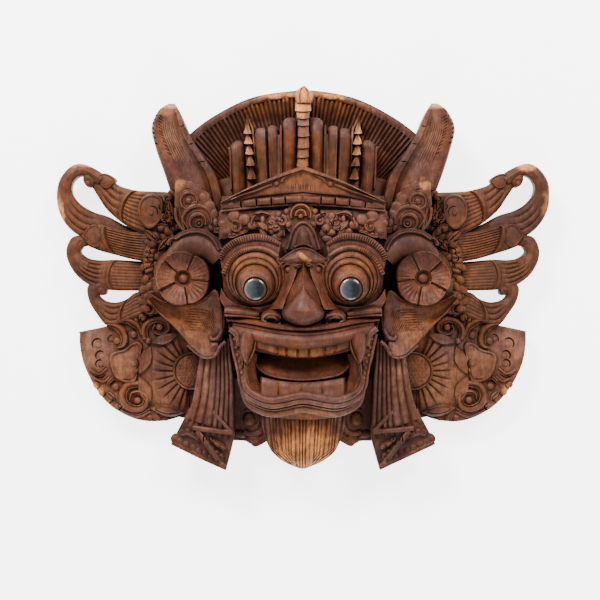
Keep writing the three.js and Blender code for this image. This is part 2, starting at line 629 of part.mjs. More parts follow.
function jaws() {
  const upperRow = teeth(
    UPPER_TEETH,
    [[-18.6, -24.6], [-9, -27], [0, -28], [9, -27], [18.6, -24.6]],
    [[-18.2, -28], [-9, -30.4], [0, -31.3], [9, -30.4], [18.2, -28]], 46.4, 41, 24,
  );
  const lowerRow = teeth(
    LOWER_TEETH,
    [[-17, -44], [-9, -46], [0, -46.6], [9, -46], [17, -44]],
    [[-16.6, -40.4], [-9, -42], [0, -42.5], [9, -42], [16.6, -40.4]], 42.5, 38, 22,
  );
  const tongueEdge = line([[-18.6, -34.6], [-13.4, -38], [0, -39.8], [13.4, -38], [18.6, -34.6]]);
  const tongueHeight = ramp([[0, 30], [0.6, 35], [0.92, 40.4], [1, 38.6]]);
  const tongue = sheet(steps(6), [0, 0.6, 0.92, 1], (u, v) => {
    const [x, y] = tongueEdge(u);
    return [x, lerp(-27, y, v), tongueHeight(v) - 5 * (2 * u - 1) ** 4];
  }, 20);
  const fang = band(
    steps(4), [0, 0.5, 1], [[21.4, -22], [22, -27], [21.8, -33.4]],
    ramp([[0, 3.1], [0.4, 2.8], [0.8, 1.3], [1, 0.3]]),
    (u, v) => 43.6 + 3.6 * arched(v) - 2 * u * u, 22,
  );
  return joined([upperRow, lowerRow, tongue, fang, mirrored(fang)]);
}

// The lower lip, which runs up into a cord beside each corner of the mouth, and the folds of the chin.
function lowerLip() {
  const path = [
    [-22.6, -27], [-23.4, -34], [-23, -40.6], [-20.2, -44.8], [-14.5, -48], [-7.9, -47.6], [0, -46.9],
    [7.9, -47.6], [14.5, -48], [20.2, -44.8], [23, -40.6], [23.4, -34], [22.6, -27],
  ];
  const level = (u) => 44 - 6 * Math.abs(2 * u - 1) ** 1.6;
  const lip = band(steps(14), [0, 0.5, 1], path, () => 1.9, (u, v) => level(u) - 2.4 + 2.4 * arched(v));
  const chin = [
    [-21.2, -46.2], [-15, -49.6], [-7.8, -49], [0, -48.4], [7.8, -49], [15, -49.6], [21.2, -46.2],
  ];
  const fold = (drop, half, top) => band(
    steps(6), [0, 0.5, 1], chin.map(([x, y]) => [x, y - drop]),
    () => half, (u, v) => top - 4.4 * (2 * u - 1) ** 2 + 1.6 * arched(v),
  );
  return joined([lip, fold(1.8, 1.3, 40), fold(4.4, 1.4, 37.6)]);
}

// The beard: straight locks to a blunt point.
function beard() {
  const edge = line([
    [17.4, -50], [16.1, -56.2], [14.7, -61.3], [13.1, -65.9], [10.6, -70], [5.6, -74], [0.6, -76.6],
  ]);
  const level = ramp([[0, 33], [0.4, 31], [0.8, 26], [1, 20]]);
  const front = (u, v) => {
    const [half, y] = edge(u);
    const across = 2 * v - 1;
    return [across * half, y, level(u) - 3.4 * across ** 2 - 1.1 * rippled(v, BEARD_LOCKS)];
  };
  return sheet([0, 0.4, 0.75, 1], steps(BEARD_LOCKS * 2), front);
}

// The carving on the forehead between gable and brows: nested arcs in the middle, scrolls and buds beside it.
function forehead() {
  const path = steps(6).map((t) => [4.8 * Math.cos(Math.PI * t), 23.4 + 4.8 * Math.sin(Math.PI * t)]);
  const arc = band(steps(6), [0, 0.5, 1], path, () => 1, (u, v) => 36 + 1.8 * arched(v));
  const side = [
    curl(8.8, 22.8, 2.8, 36.4), bead(14.4, 25, 2.7, 35.6, 3), bead(19.8, 22.8, 2.5, 35.6, 3),
    bead(25.2, 25.2, 2.6, 35.2, 3), bead(27.2, 20.4, 2.4, 34.2, 3),
  ];
  return joined([arc, bead(0, 23.4, 2.2, 37, 2.4), ...side, ...side.map(mirrored)]);
}

// Round cuts and inlays, in millimetres

// A solid turned about an axis along Z, from a profile of [radius, height] that starts and ends on the axis.
function turned(profile, sides, x, y) {
  const geometry = new THREE.LatheGeometry(profile.map(([r, z]) => new THREE.Vector2(r, z)), sides);
  geometry.rotateX(Math.PI / 2).translate(x, y, 0);
  return geometry;
}

function solidFromGeometry(geometry) {
  const position = geometry.getAttribute("position");
  const seen = new Map();
  const vertices = [];
  const index = [];
  for (let i = 0; i < position.count; i++) {
    const point = [position.getX(i), position.getY(i), position.getZ(i)];
    const key = point.map((n) => Math.round(n * 1000)).join();
    if (!seen.has(key)) {
      seen.set(key, vertices.length);
      vertices.push(point);
    }
    index.push(seen.get(key));
  }
  const triangles = [];
  for (let i = 0; i < geometry.index.count; i += 3) {
    const corners = [0, 1, 2].map((k) => index[geometry.index.getX(i + k)]);
    if (new Set(corners).size === 3) triangles.push(corners);
  }
  return solidInMillimetres(vertices, triangles);
}

const eyePlace = (side) => [side * EYE_CENTRE[0] * X_STEP, EYE_CENTRE[1] * Y_STEP];

// The seat for an inlay, deep enough for its edge and a clearance all round.
function eyeSeat(side) {
  const radius = EYE_DIAMETER / 2 + EYE_CLEARANCE;
  const floor = EYE_LEVEL - EYE_EDGE - EYE_CLEARANCE;
  const top = EYE_LEVEL + CUT_BEYOND;
  const profile = [[0, floor], [radius, floor], [radius, top], [0, top]];
  return solidFromGeometry(turned(profile, EYE_SIDES, ...eyePlace(side)));
}

function eyeInlay(side) {
  const radius = EYE_DIAMETER / 2;
  const foot = EYE_LEVEL - EYE_EDGE;
  const crown = steps(3).map((t) => {
    const angle = (Math.PI / 2) * t;
    return [radius * Math.cos(angle), EYE_LEVEL + EYE_CROWN * Math.sin(angle)];
  });
  const profile = [[0, foot], [radius, foot], ...crown.slice(0, -1), [0, EYE_LEVEL + EYE_CROWN]];
  return turned(profile, EYE_SIDES, ...eyePlace(side));
}

// The hollow behind the face: an oval bowl open at the back plane.
function hollow() {
  const profile = steps(4).map((t) => {
    const angle = (Math.PI / 2) * t;
    return [0.5 * Math.cos(angle) ** 0.7, HOLLOW_DEPTH * Math.sin(angle)];
  });
  const opening = [[0, -CUT_BEYOND], [0.5, -CUT_BEYOND]];
  const bowl = turned([...opening, ...profile.slice(0, -1), [0, HOLLOW_DEPTH]], 22, 0, 0);
  bowl.scale(HOLLOW_WIDTH, HOLLOW_HEIGHT, 1).translate(0, -HOLLOW_BELOW_MIDDLE, 0);
  return solidFromGeometry(bowl);
}

// Everything behind the mask: below the flat back, and below a slope that rises from it to the edge.
function sawnOff() {
  const reach = MASK_WIDTH * 0.75;
  const slope = EDGE_RISE / (MASK_WIDTH / 2 - FLAT_BACK_RADIUS);
  const edgeHeight = slope * (reach - FLAT_BACK_RADIUS);
  const profile = [
    [0, -CUT_BEYOND], [reach, -CUT_BEYOND], [reach, edgeHeight], [FLAT_BACK_RADIUS, 0], [0, 0],
  ];
  return solidFromGeometry(turned(profile, 16, 0, -HOLLOW_BELOW_MIDDLE));
}

// The whole mask

function carving() {
  const halves = [
    crownFolds(), tallLeaf(), brimLeaf(), sideBlock(), plumes(), plumeRoots(), earCrescent(), earFlower(),
    ear(), wing(), sash(), bracket(), eyeRings(),
  ];
  const half = joined(halves);
  const head = faceBlock().subtract(mouthCavity());
  const middle = [
    backFan(), crests(), gable(), forehead(), nose(), upperLip(), jaws(), lowerLip(), beard(),
  ];
  const whole = joined([head, half, mirrored(half), ...middle]);
  return [sawnOff(), hollow(), eyeSeat(1), eyeSeat(-1)].reduce((wood, cut) => wood.subtract(cut), whole);
}

function geometryOf(solid) {
  const mesh = solid.getMesh();
  const geometry = new THREE.BufferGeometry();
  geometry.setAttribute("position", new THREE.BufferAttribute(new Float32Array(mesh.vertProperties), 3));
  geometry.setIndex(new THREE.BufferAttribute(new Uint32Array(mesh.triVerts), 1));
  geometry.computeVertexNormals();
  return geometry;
}

function named(name, geometry, material) {
  const mesh = new THREE.Mesh(geometry, material);
  mesh.name = name;
  return mesh;
}

const mask = new THREE.Group();
mask.add(named("mask", geometryOf(carving()), WOOD));
mask.add(named("eye_inlay_left", eyeInlay(-1), SHELL));
mask.add(named("eye_inlay_right", eyeInlay(1), SHELL));

export default mask;
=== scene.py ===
"""The looks of a carved hardwood guardian mask that lies on its back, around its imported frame.

The mask is carved again here on the same grid as its solid, with its flutes, scales, petals and scrolls as
real shape: closed pieces of wood are joined, and the grooves, the hollow and the eye seats are cut out.
"""
import math

import bpy
import numpy as np
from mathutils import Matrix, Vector, noise


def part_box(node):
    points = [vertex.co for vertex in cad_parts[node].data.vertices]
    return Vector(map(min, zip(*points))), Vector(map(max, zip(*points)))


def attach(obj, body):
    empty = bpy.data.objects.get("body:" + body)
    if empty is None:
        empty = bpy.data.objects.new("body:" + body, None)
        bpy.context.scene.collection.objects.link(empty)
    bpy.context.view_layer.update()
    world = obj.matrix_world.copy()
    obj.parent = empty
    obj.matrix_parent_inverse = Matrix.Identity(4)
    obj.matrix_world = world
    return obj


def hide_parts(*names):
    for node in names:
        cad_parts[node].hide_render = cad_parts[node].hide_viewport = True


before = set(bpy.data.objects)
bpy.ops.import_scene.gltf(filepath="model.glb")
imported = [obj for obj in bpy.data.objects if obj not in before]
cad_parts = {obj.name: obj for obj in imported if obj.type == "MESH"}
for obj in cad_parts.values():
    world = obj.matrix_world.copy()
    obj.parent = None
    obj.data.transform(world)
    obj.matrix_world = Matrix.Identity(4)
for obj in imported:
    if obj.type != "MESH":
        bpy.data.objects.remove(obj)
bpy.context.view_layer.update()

# The carving grid: x runs to 100 at the widest point, y and z in like steps, scaled to the solid's own box
MASK_LOW, MASK_HIGH = (Vector(corner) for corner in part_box("mask"))
GRID_HALF_WIDTH = 100.0
GRID_TOP = 77.2
NOSE_LEVEL = 57.6
FLOOR = -2.0
STEP = np.array([
    (MASK_HIGH.x - MASK_LOW.x) / (2 * GRID_HALF_WIDTH),
    (MASK_HIGH.y - MASK_LOW.y) / (2 * GRID_TOP),
    MASK_HIGH.z / NOSE_LEVEL,
])

# How many triangles the carving keeps, a little under the limit for one piece
TRIANGLES = 196000

# Counts of the repeated carving, and the width of a lock of the beard in grid units
FAN_FLUTES = 62
FAN_LOBES = 16
PETALS = 5
BROW_RIBS = 29
LID_RIBS = 28
LOCK_WIDTH = 1.56
INNER_PLEATS, OUTER_PLEATS = 4, 3
WING_RAYS = 11
EAR_GROOVES = 9


# Small helpers

def lerp(a, b, t):
    """The value at a share of the way from a to b."""
    return a + (b - a) * t


def steps(count, start=0.0, end=1.0):
    """Even steps from one value to another."""
    return np.linspace(start, end, count + 1)


def ramp(*pairs):
    """Straight steps through (share, value) pairs."""
    shares, values = zip(*pairs)
    return lambda t: np.interp(t, shares, values)


def arched(v):
    """A round back: 0 at both edges and 1 in the middle."""
    return np.sqrt(np.clip(1 - (2 * v - 1) ** 2, 0, 1))


def rippled(t, count):
    """Round waves between 0 and 1."""
    return 0.5 - 0.5 * np.cos(2 * np.pi * count * t)


def furrowed(t, count):
    """Round ribs with a sharp valley between them: 0 in the valleys, 1 on the ribs."""
    return np.abs(np.sin(np.pi * count * t))


def smooth(t, low, high):
    """A soft step from 0 at the low value to 1 at the high one."""
    s = np.clip((t - low) / (high - low), 0, 1)
    return s * s * (3 - 2 * s)


def line(points):
    """A smooth line through the points of an outline: gives x and y for a share of the way along."""
    p = np.array(points, float)
    last = len(p) - 1

    def at(t):
        t = np.clip(np.asarray(t, float), 0, 1) * last
        i = np.minimum(t.astype(int), last - 1)
        w = (t - i)[..., None]
        before, here, there, after = p[np.maximum(i - 1, 0)], p[i], p[i + 1], p[np.minimum(i + 2, last)]
        leave, arrive = (there - before) / 2, (after - here) / 2
        q = (2 * here - 2 * there + leave + arrive) * w ** 3
        q = q + (3 * there - 3 * here - 2 * leave - arrive) * w ** 2 + leave * w + here
        return q[..., 0], q[..., 1]

    return at


def arc(x, y, radius, start, end, count=12, squeeze=1.0):
    """Points along an arc, from one angle to another in degrees, its height squeezed by a factor."""
    angles = np.radians(np.linspace(start, end, count + 1))
    return [(x + radius * math.cos(a), y + radius * squeeze * math.sin(a)) for a in angles]


def sided(side, points):
    """Points given for the viewer's right, moved to the side that is asked for."""
    return [(side * x, y) for x, y in points]


def both_ways(points):
    """A line that runs on from the middle of the mask as its own mirror image."""
    return points + [(-x, y) for x, y in reversed(points[:-1])]


# Closed solids, as points and triangles on the carving grid

def facing_out(points, triangles):
    """Turns the triangles of a closed solid so that they face outwards."""
    a, b, c = (points[triangles[:, k]] for k in range(3))
    volume = np.einsum("ij,ij->i", a, np.cross(b, c)).sum()
    return points, (triangles[:, ::-1] if volume < 0 else triangles)


def quads(a, b, c, d):
    """Two triangles for each set of four corners."""
    a, b, c, d = (np.asarray(k).ravel() for k in (a, b, c, d))
    return np.concatenate([np.stack([a, b, c], 1), np.stack([a, c, d], 1)])


def sheet(us, vs, front, back=FLOOR):
    """A closed solid under a front sheet of points, down to a level or to a back by the same shares."""
    u, v = np.meshgrid(us, vs, indexing="ij")
    top = np.stack(np.broadcast_arrays(*front(u, v)), -1).astype(float)
    low = top.copy()
    low[..., 2] = back(u, v) if callable(back) else back
    points = np.concatenate([top.reshape(-1, 3), low.reshape(-1, 3)])
    ids = np.arange(u.size).reshape(u.shape)
    under = ids + u.size
    parts = [
        quads(ids[:-1, :-1], ids[1:, :-1], ids[1:, 1:], ids[:-1, 1:]),
        quads(under[:-1, 1:], under[1:, 1:], under[1:, :-1], under[:-1, :-1]),
        quads(under[:-1, 0], under[1:, 0], ids[1:, 0], ids[:-1, 0]),
        quads(ids[:-1, -1], ids[1:, -1], under[1:, -1], under[:-1, -1]),
        quads(ids[0, :-1], ids[0, 1:], under[0, 1:], under[0, :-1]),
        quads(under[-1, :-1], under[-1, 1:], ids[-1, 1:], ids[-1, :-1]),
    ]
    return facing_out(points, np.concatenate(parts))


def disc(count, rings, front, back=FLOOR, start=0.0):
    """A closed round solid about a middle point: front(angle, share) gives the points of each ring."""
    angles = start + np.arange(count) * 2 * np.pi / count
    a, s = np.meshgrid(angles, rings)
    top = np.stack(np.broadcast_arrays(*front(a.T, s.T)), -1).transpose(1, 0, 2).astype(float)
    middle = np.array([float(np.mean(k)) for k in front(np.array([start]), np.array([0.0]))])
    low = top[-1].copy()
    low[:, 2] = back
    points = np.concatenate([[middle, [middle[0], middle[1], back]], top.reshape(-1, 3), low])
    ids = 2 + np.arange((len(rings) + 1) * count).reshape(len(rings) + 1, count)
    after = np.roll(ids, -1, axis=1)
    parts = [quads(ids[k], ids[k + 1], after[k + 1], after[k]) for k in range(len(rings))]
    parts.append(np.stack([np.zeros(count, int), ids[0], after[0]], 1))
    parts.append(np.stack([np.ones(count, int), after[-1], ids[-1]], 1))
    return facing_out(points, np.concatenate(parts))


def between(us, vs, edge_a, edge_b, height, back=FLOOR):
    """A patch between two edges that run side by side."""
    a, b = line(edge_a), line(edge_b)

    def front(u, v):
        (ax, ay), (bx, by) = a(u), b(u)
        return lerp(ax, bx, v), lerp(ay, by, v), height(u, v)

    return sheet(us, vs, front, back)


def along(edge_a, edge_b, share, start=0.0, end=1.0, count=8):
    """Points that follow a patch at one share between its two edges."""
    u = steps(count, start, end)
    (ax, ay), (bx, by) = line(edge_a)(u), line(edge_b)(u)
    return list(zip(lerp(ax, bx, share), lerp(ay, by, share)))


def band(us, vs, path, half, height, back=FLOOR):
    """A band along a line, with a half width for each share of the way and a height for both shares."""
    centre = line(path)

    def front(u, v):
        x0, y0 = centre(np.maximum(0, u - 0.01))
        x1, y1 = centre(np.minimum(1, u + 0.01))
        length = np.hypot(x1 - x0, y1 - y0)
        x, y = centre(u)
        across = (2 * v - 1) * (half(u) if callable(half) else half)
        return x - (y1 - y0) / length * across, y + (x1 - x0) / length * across, height(u, v)

    return sheet(us, vs, front, back)


# Shares across a round back, closer together towards its edges
ROUND = np.array([0, 0.08, 0.25, 0.5, 0.75, 0.92, 1])


def cord(path, half, top, rise=None, count=16):
    """A raised band with a round back."""
    swell = rise if rise is not None else half
    level = top if callable(top) else (lambda u: top)
    return band(steps(count), ROUND, path, half, lambda u, v: level(u) - swell + swell * arched(v))


# How deep a groove is along its length
ROUND_ENDS = ramp((0, 0.12), (0.2, 1), (0.75, 1), (1, 0.12))
SQUARE_ENDS = ramp((0, 1), (1, 1))


def groove(path, half, level, depth, count=8, above=3.5, ends=ROUND_ENDS):
    """A V cut along a line, running out at its ends, in wood whose face is at the level given."""
    face = level if callable(level) else (lambda u: level)

    def height(u, v):
        deep = depth * ends(u)
        return face(u) + 0.3 - (deep + 0.3) * (1 - np.abs(2 * v - 1))

    return band(
        steps(count), [0, 0.5, 1], path, lambda u: half * ends(u), height, lambda u, v: face(u) + above,
    )


def bead(x, y, radius, top, rise, count=14, squeeze=1.0, turn=0.0, back=FLOOR):
    """A round or oval bead with a flattened dome."""
    c, s = math.cos(turn), math.sin(turn)

    def front(angle, share):
        px, py = radius * share * np.cos(angle), radius * squeeze * share * np.sin(angle)
        dome = np.sqrt(np.clip(1.0001 - share ** 3.2, 0, 1))
        return x + px * c - py * s, y + px * s + py * c, top + rise * (0.7 * dome - 0.3 * share)

    return disc(count, [0.45, 0.75, 0.93, 1], front, back)


def eyed(x, y, radius, top, count=22):
    """A round bud: a boss in a sunk ring."""
    level = ramp((0, 0.62), (0.24, 0.52), (0.4, 0.1), (0.5, -0.15), (0.62, 0.18), (0.82, 0.3), (1, -0.1))

    def front(angle, share):
        across, up = np.cos(angle) * radius * share, np.sin(angle) * radius * share
        return x + across, y + up, top + radius * level(share)

    return disc(count, [0.24, 0.4, 0.5, 0.62, 0.82, 1], front)


def fern(path, half, top, rise=1.0, rim_side=1, count=26):
    """A curling blade: a thin rim along one edge, a groove beside it, and a full rounded body."""
    vs = np.array([0, 0.05, 0.13, 0.2, 0.3, 0.5, 0.75, 0.92, 1])
    body = ramp(
        (0, -0.9), (0.05, 0.5), (0.13, 0.7), (0.2, -0.2), (0.3, 0.4), (0.5, 1), (0.75, 0.85), (0.92, 0.1),
        (1, -0.9),
    )
    if rim_side < 0:
        return band(steps(count), 1 - vs[::-1], path, half, lambda u, v: top + rise * body(1 - v))
    return band(steps(count), vs, path, half, lambda u, v: top + rise * body(v))


def leaflet(start, end, half, top, lean=0.0):
    """A small pointed leaf with a vein along its middle."""
    a, b = np.array(start, float), np.array(end, float)
    side = np.array([-(b - a)[1], (b - a)[0]]) / np.linalg.norm(b - a)
    shares = steps(6)
    edge_a = [
        tuple(lerp(a, b, t) + side * (half * (1 + lean)) * math.sin(math.pi * t ** 0.8)) for t in shares
    ]
    edge_b = [
        tuple(lerp(a, b, t) - side * (half * (1 - lean)) * math.sin(math.pi * t ** 0.8)) for t in shares
    ]
    profile = ramp(
        (0, -0.5), (0.12, 0.35), (0.3, 0.6), (0.45, 0.3), (0.5, -0.35), (0.55, 0.3), (0.7, 0.6),
        (0.88, 0.35), (1, -0.5),
    )
    vs = [0, 0.12, 0.3, 0.45, 0.5, 0.55, 0.7, 0.88, 1]
    return between(steps(10, 0.01, 0.99), vs, edge_a, edge_b, lambda u, v: top + profile(v))


def frond(path, half, top, lobes=4, side=1, rise=0.9, back=FLOOR):
    """A leaf rolled along its inner edge and cut into round lobes along its outer one."""
    centre = line(path)

    def front(u, v):
        x0, y0 = centre(np.maximum(0, u - 0.01))
        x1, y1 = centre(np.minimum(1, u + 0.01))
        length = np.hypot(x1 - x0, y1 - y0)
        x, y = centre(u)
        lobe = furrowed(u, lobes) ** 0.6
        taper = np.sqrt(1.01 - u * u) * (0.7 + 0.3 * smooth(u, 0, 0.2))
        across = side * half * taper * np.where(v > 0.5, (2 * v - 1) * (0.7 + 0.3 * lobe), 2 * v - 1)
        roll = np.exp(-((v - 0.12) / 0.09) ** 2)
        body = 0.55 * np.exp(-((v - 0.62) / 0.26) ** 2) * (0.35 + 0.65 * lobe)
        edge = smooth(v, 0.86, 1.0) + smooth(v, 0.06, 0.0)
        level = top + rise * (0.75 * roll + body - 0.9 * edge - 0.5 * (1 - lobe) * smooth(v, 0.35, 0.6))
        return x - (y1 - y0) / length * across, y + (x1 - x0) / length * across, level

    vs = [0, 0.05, 0.12, 0.22, 0.32, 0.45, 0.62, 0.78, 0.88, 0.95, 1]
    return sheet(steps(lobes * 7), vs, front, back)


def inside(outline, x, y):
    """Whether a point lies inside a closed outline."""
    hits = 0
    for (x0, y0), (x1, y1) in zip(outline, list(outline[1:]) + [outline[0]]):
        if (y0 > y) != (y1 > y) and x < x0 + (y - y0) / (y1 - y0) * (x1 - x0):
            hits += 1
    return hits % 2 == 1


def pad(outline, top, crown=0.8, rim=0.0, count=40):
    """A raised patch with a smooth closed outline, crowned, or with a raised rim round a sunk middle."""
    edge = line(list(outline) + [outline[0]])
    cx, cy = np.mean(np.array(outline), axis=0)

    def front(angle, share):
        x, y = edge(np.mod(angle / (2 * np.pi), 1))
        lift = crown * (1 - share ** 2) + rim * (smooth(share, 0.74, 0.86) - smooth(share, 0.93, 1.0))
        return lerp(cx, x, share), lerp(cy, y, share), top + lift

    rings = [0.35, 0.6, 0.74, 0.8, 0.86, 0.93, 1] if rim else [0.35, 0.6, 0.8, 0.93, 1]
    return disc(count, rings, front)


def lens(start, end, half, top, crown=0.8, rim=0.5, lean=0.0):
    """A pointed oval, its middle hollowed inside a raised rim, leaning to one side."""
    a, b = np.array(start, float), np.array(end, float)
    side = np.array([-(b - a)[1], (b - a)[0]]) / np.linalg.norm(b - a)
    shares = steps(6)
    edge_a = [tuple(lerp(a, b, t) + side * (half * (1 + lean)) * math.sin(math.pi * t)) for t in shares]
    edge_b = [tuple(lerp(a, b, t) - side * (half * (1 - lean)) * math.sin(math.pi * t)) for t in shares]
    profile = ramp((0, -0.6), (0.1, 1), (0.25, 0.2), (0.5, 0), (0.75, 0.2), (0.9, 1), (1, -0.6))
    vs = [0, 0.1, 0.25, 0.5, 0.75, 0.9, 1]
    height = lambda u, v: top + rim * profile(v) + crown * arched(v) * np.sin(np.pi * u)
    return between(steps(14, 0.01, 0.99), vs, edge_a, edge_b, height)


def spiral(x, y, radius, start, turns, shrink=0.62, count=14):
    """Points of a tendril that winds in: from an angle in degrees, by a number of turns either way."""
    shares = steps(count)
    angles = np.radians(start) + turns * 2 * np.pi * shares
    reach = radius * (1 - shrink * shares)
    return list(zip(x + np.cos(angles) * reach, y + np.sin(angles) * reach))


def mirrored(solid):
    """The same solid on the other side of the mask."""
    points, triangles = solid
    return points * np.array([-1.0, 1.0, 1.0]), triangles[:, ::-1]


def joined(form):
    """A form as a way of Carving: it is made and joined to the wood."""
    def add(work, *sizes, **options):
        work.add(form(*sizes, **options))

    return add


class Carving:
    """The wood that is joined and the grooves that are cut out of it."""

    sheet, disc, between, band = joined(sheet), joined(disc), joined(between), joined(band)
    cord, bead, eyed, pad = joined(cord), joined(bead), joined(eyed), joined(pad)
    fern, frond, leaflet, lens = joined(fern), joined(frond), joined(leaflet), joined(lens)

    def __init__(self):
        self.wood = []
        self.grooves = []

    def add(self, *solids):
        self.wood.extend(solids)

    def cut(self, *solids):
        self.grooves.extend(solids)

    def beads(self, *rows):
        for row in rows:
            self.bead(*row)

    def groove(self, *sizes, **options):
        self.cut(groove(*sizes, **options))

    def scroll(self, x, y, radius, start, turns, top, width=0.24):
        """A tendril winding in to a bead, its rim on the outside."""
        path = spiral(x, y, radius, start, turns)
        side = -1 if turns > 0 else 1
        self.fern(path, lambda u: radius * (width - 0.07 * u), top, radius * 0.16, side, 20)
        self.bead(x, y, radius * 0.34, top - 0.2, radius * 0.34)

    def nick(self, x, y, radius, start, end, level, half=0.5, depth=1.4):
        """A crescent cut."""
        self.groove(arc(x, y, radius, start, end, 6), half, level, depth, 7)

    def foliage(self, outline, pitch, level, seed):
        """Fills an outline with small curled lobes, each undercut by a crescent, on a loosened grid."""
        chance = np.random.default_rng(seed)
        low, high = np.min(outline, axis=0), np.max(outline, axis=0)
        rows = int((high[1] - low[1]) / (pitch * 0.86)) + 1
        for row in range(rows):
            for place in range(int((high[0] - low[0]) / pitch) + 2):
                jitter = chance.uniform(-0.22, 0.22, 2) * pitch
                turn = chance.uniform(0, 360)
                x = low[0] + (place + 0.5 * (row % 2)) * pitch + jitter[0]
                y = low[1] + row * pitch * 0.86 + jitter[1]
                if not inside(outline, x, y):
                    continue
                top = level(x, y) if callable(level) else level
                size = pitch * 0.64
                level_here = top + 0.5 * float(chance.uniform(-1, 1))
                self.bead(x, y, size, level_here - 0.2, 0.9, 12, 0.72, math.radians(turn))
                self.nick(x, y, size * 0.55, turn + 20, turn + 170, level_here + 0.35, 0.26, 0.55)

    def both_sides(self, other):
        for solid in other.wood:
            self.add(solid, mirrored(solid))
        for solid in other.grooves:
            self.cut(solid, mirrored(solid))


# The crown

def back_fan(work):
    """The fan behind the crown, fluted like a shell, under a row of long lobes."""
    centre_y = 8.9
    reach = math.radians(50)

    def around(u, radius):
        angle = lerp(-reach, reach, u)
        return np.sin(angle) * radius, centre_y + np.cos(angle) * radius

    def web(u, v):
        ridge = furrowed(u, FAN_FLUTES) ** 1.3
        return *around(u, lerp(30, 66.2, v)), lerp(9.7, 11.2, v) - 1.3 * (1 - ridge)

    def lobes(u, v):
        strength = 0.2 + 0.8 * (1 - smooth(np.abs(u - 0.5), 0.12, 0.3))
        lobe = furrowed(u, FAN_LOBES) ** 0.4
        notch = (1 - lobe) * strength
        dome = arched(0.04 + 0.96 * v) * (0.3 + 0.7 * lobe)
        radius = lerp(64.9 + 1.5 * notch, 67.4 - 1.0 * notch, v)
        return *around(u, radius), 10.8 - 0.8 * notch + 1.3 * dome * strength

    def edge(u, v):
        return *around(u, lerp(65.4, 68.15, v)), 10.4 - 0.6 * smooth(v, 0.75, 1.0)

    work.sheet(steps(FAN_FLUTES * 6), [0, 0.3, 0.65, 1], web)
    work.sheet(steps(80), steps(2), edge)
    work.sheet(steps(FAN_LOBES * 10), [0, 0.08, 0.25, 0.55, 0.85, 1], lobes)


def column(work, foot, top, half_foot, half_top, front, crease, peak=0.5, lean=0.0):
    """A fold of the crown that widens upwards: two faces that meet at a crease, its top tilted back."""
    def face(u, v):
        k = 2 * v - 1
        x = lerp(foot[0], top[0], u) + k * lerp(half_foot, half_top, u)
        y = lerp(foot[1], top[1] - peak * k * k - lean * k, u)
        away = np.where(k > crease, (k - crease) / (1 - crease), (crease - k) / (1 + crease))
        level = front + 2.4 * (1 - u) - 1.9 * away ** 1.15 - 0.5 * np.abs(k) ** 8
        level = level - 2.4 * smooth(u, 0.84, 1.02) ** 1.3
        return x, y, level + 0.35 * np.exp(-(away / 0.12) ** 2)

    us = [*steps(6, 0, 0.78), 0.83, 0.87, 0.9, 0.93, 0.96, 0.985, 1]
    at_crease = [0.5 + crease / 2 + d for d in (-0.05, -0.02, 0, 0.02, 0.05)]
    vs = sorted({0, 0.03, 0.08, 0.2, 0.35, 0.5, 0.65, 0.8, 0.92, 0.97, 1, *at_crease})
    work.sheet(us, vs, face)


def crown_folds(work):
    """The folds of the crown in front of the fan, and the block that carries them."""
    work.between(
        steps(4), steps(2), [(0, 28), (0, 60)], [(31, 28), (28, 53)],
        lambda u, v: lerp(20, 12, u) - 7 * v * v,
    )
    work.between(
        steps(4), steps(2), [(3, 40), (3, 59)], [(18.6, 36), (18.6, 56.5)],
        lambda u, v: lerp(29.0, 27.0, v) - 2.6 * u,
    )
    work.between(
        steps(4), steps(2), [(18.4, 36), (18.4, 56)], [(24.5, 34), (25.5, 52)],
        lambda u, v: lerp(24.6, 22.4, v) - 3 * u,
    )
    column(work, (5.3, 38), (5.4, 64.6), 2.4, 2.7, 29.4, 0.5, 0.7, 0.6)
    column(work, (11.6, 37), (12.2, 61.6), 1.9, 2.1, 27.4, 0.78, 0.9)
    column(work, (15.7, 36), (16.9, 60.6), 2.1, 2.5, 27.6, -0.68, 0.9)
    column(work, (25.0, 32), (26.6, 55.6), 2.4, 2.7, 24.6, 0.1, 1.0, 0.9)
    for foot, top, level in ((8.4, 9.0, 28.6), (18.6, 20.0, 25.4), (28.6, 30.0, 23.4)):
        ridge = [(foot, 36), ((foot + top) / 2, 50), (top, 61.6 if foot < 20 else 53)]
        work.cord(ridge, ramp((0, 0.5), (0.9, 0.45), (1, 0.15)), level, 0.7, 12)


def crest(joints, middle, half, level, rise, taper, drop, roof):
    """Stacked scales between the given heights, each widest and highest at its lower edge."""
    ys, shares = [], []
    for low, high in zip(joints[:-1], joints[1:]):
        for w in (0.02, 0.3, 0.65, 0.95):
            ys.append(lerp(low, high, w))
            shares.append(w)
    ys, shares = np.array([*ys, joints[-1]]), np.array([*shares, 1.0])

    def face(u, v):
        y, w = ys[u.astype(int)], shares[u.astype(int)]
        k = 2 * v - 1
        width = half(y) * (1 - taper * w)
        return middle(y) + k * width, y - 0.35 * (1 - k * k), level(y) - rise * w - drop * np.abs(k) ** roof

    return sheet(np.arange(len(ys)), [0, 0.06, 0.2, 0.36, 0.5, 0.64, 0.8, 0.94, 1], face)


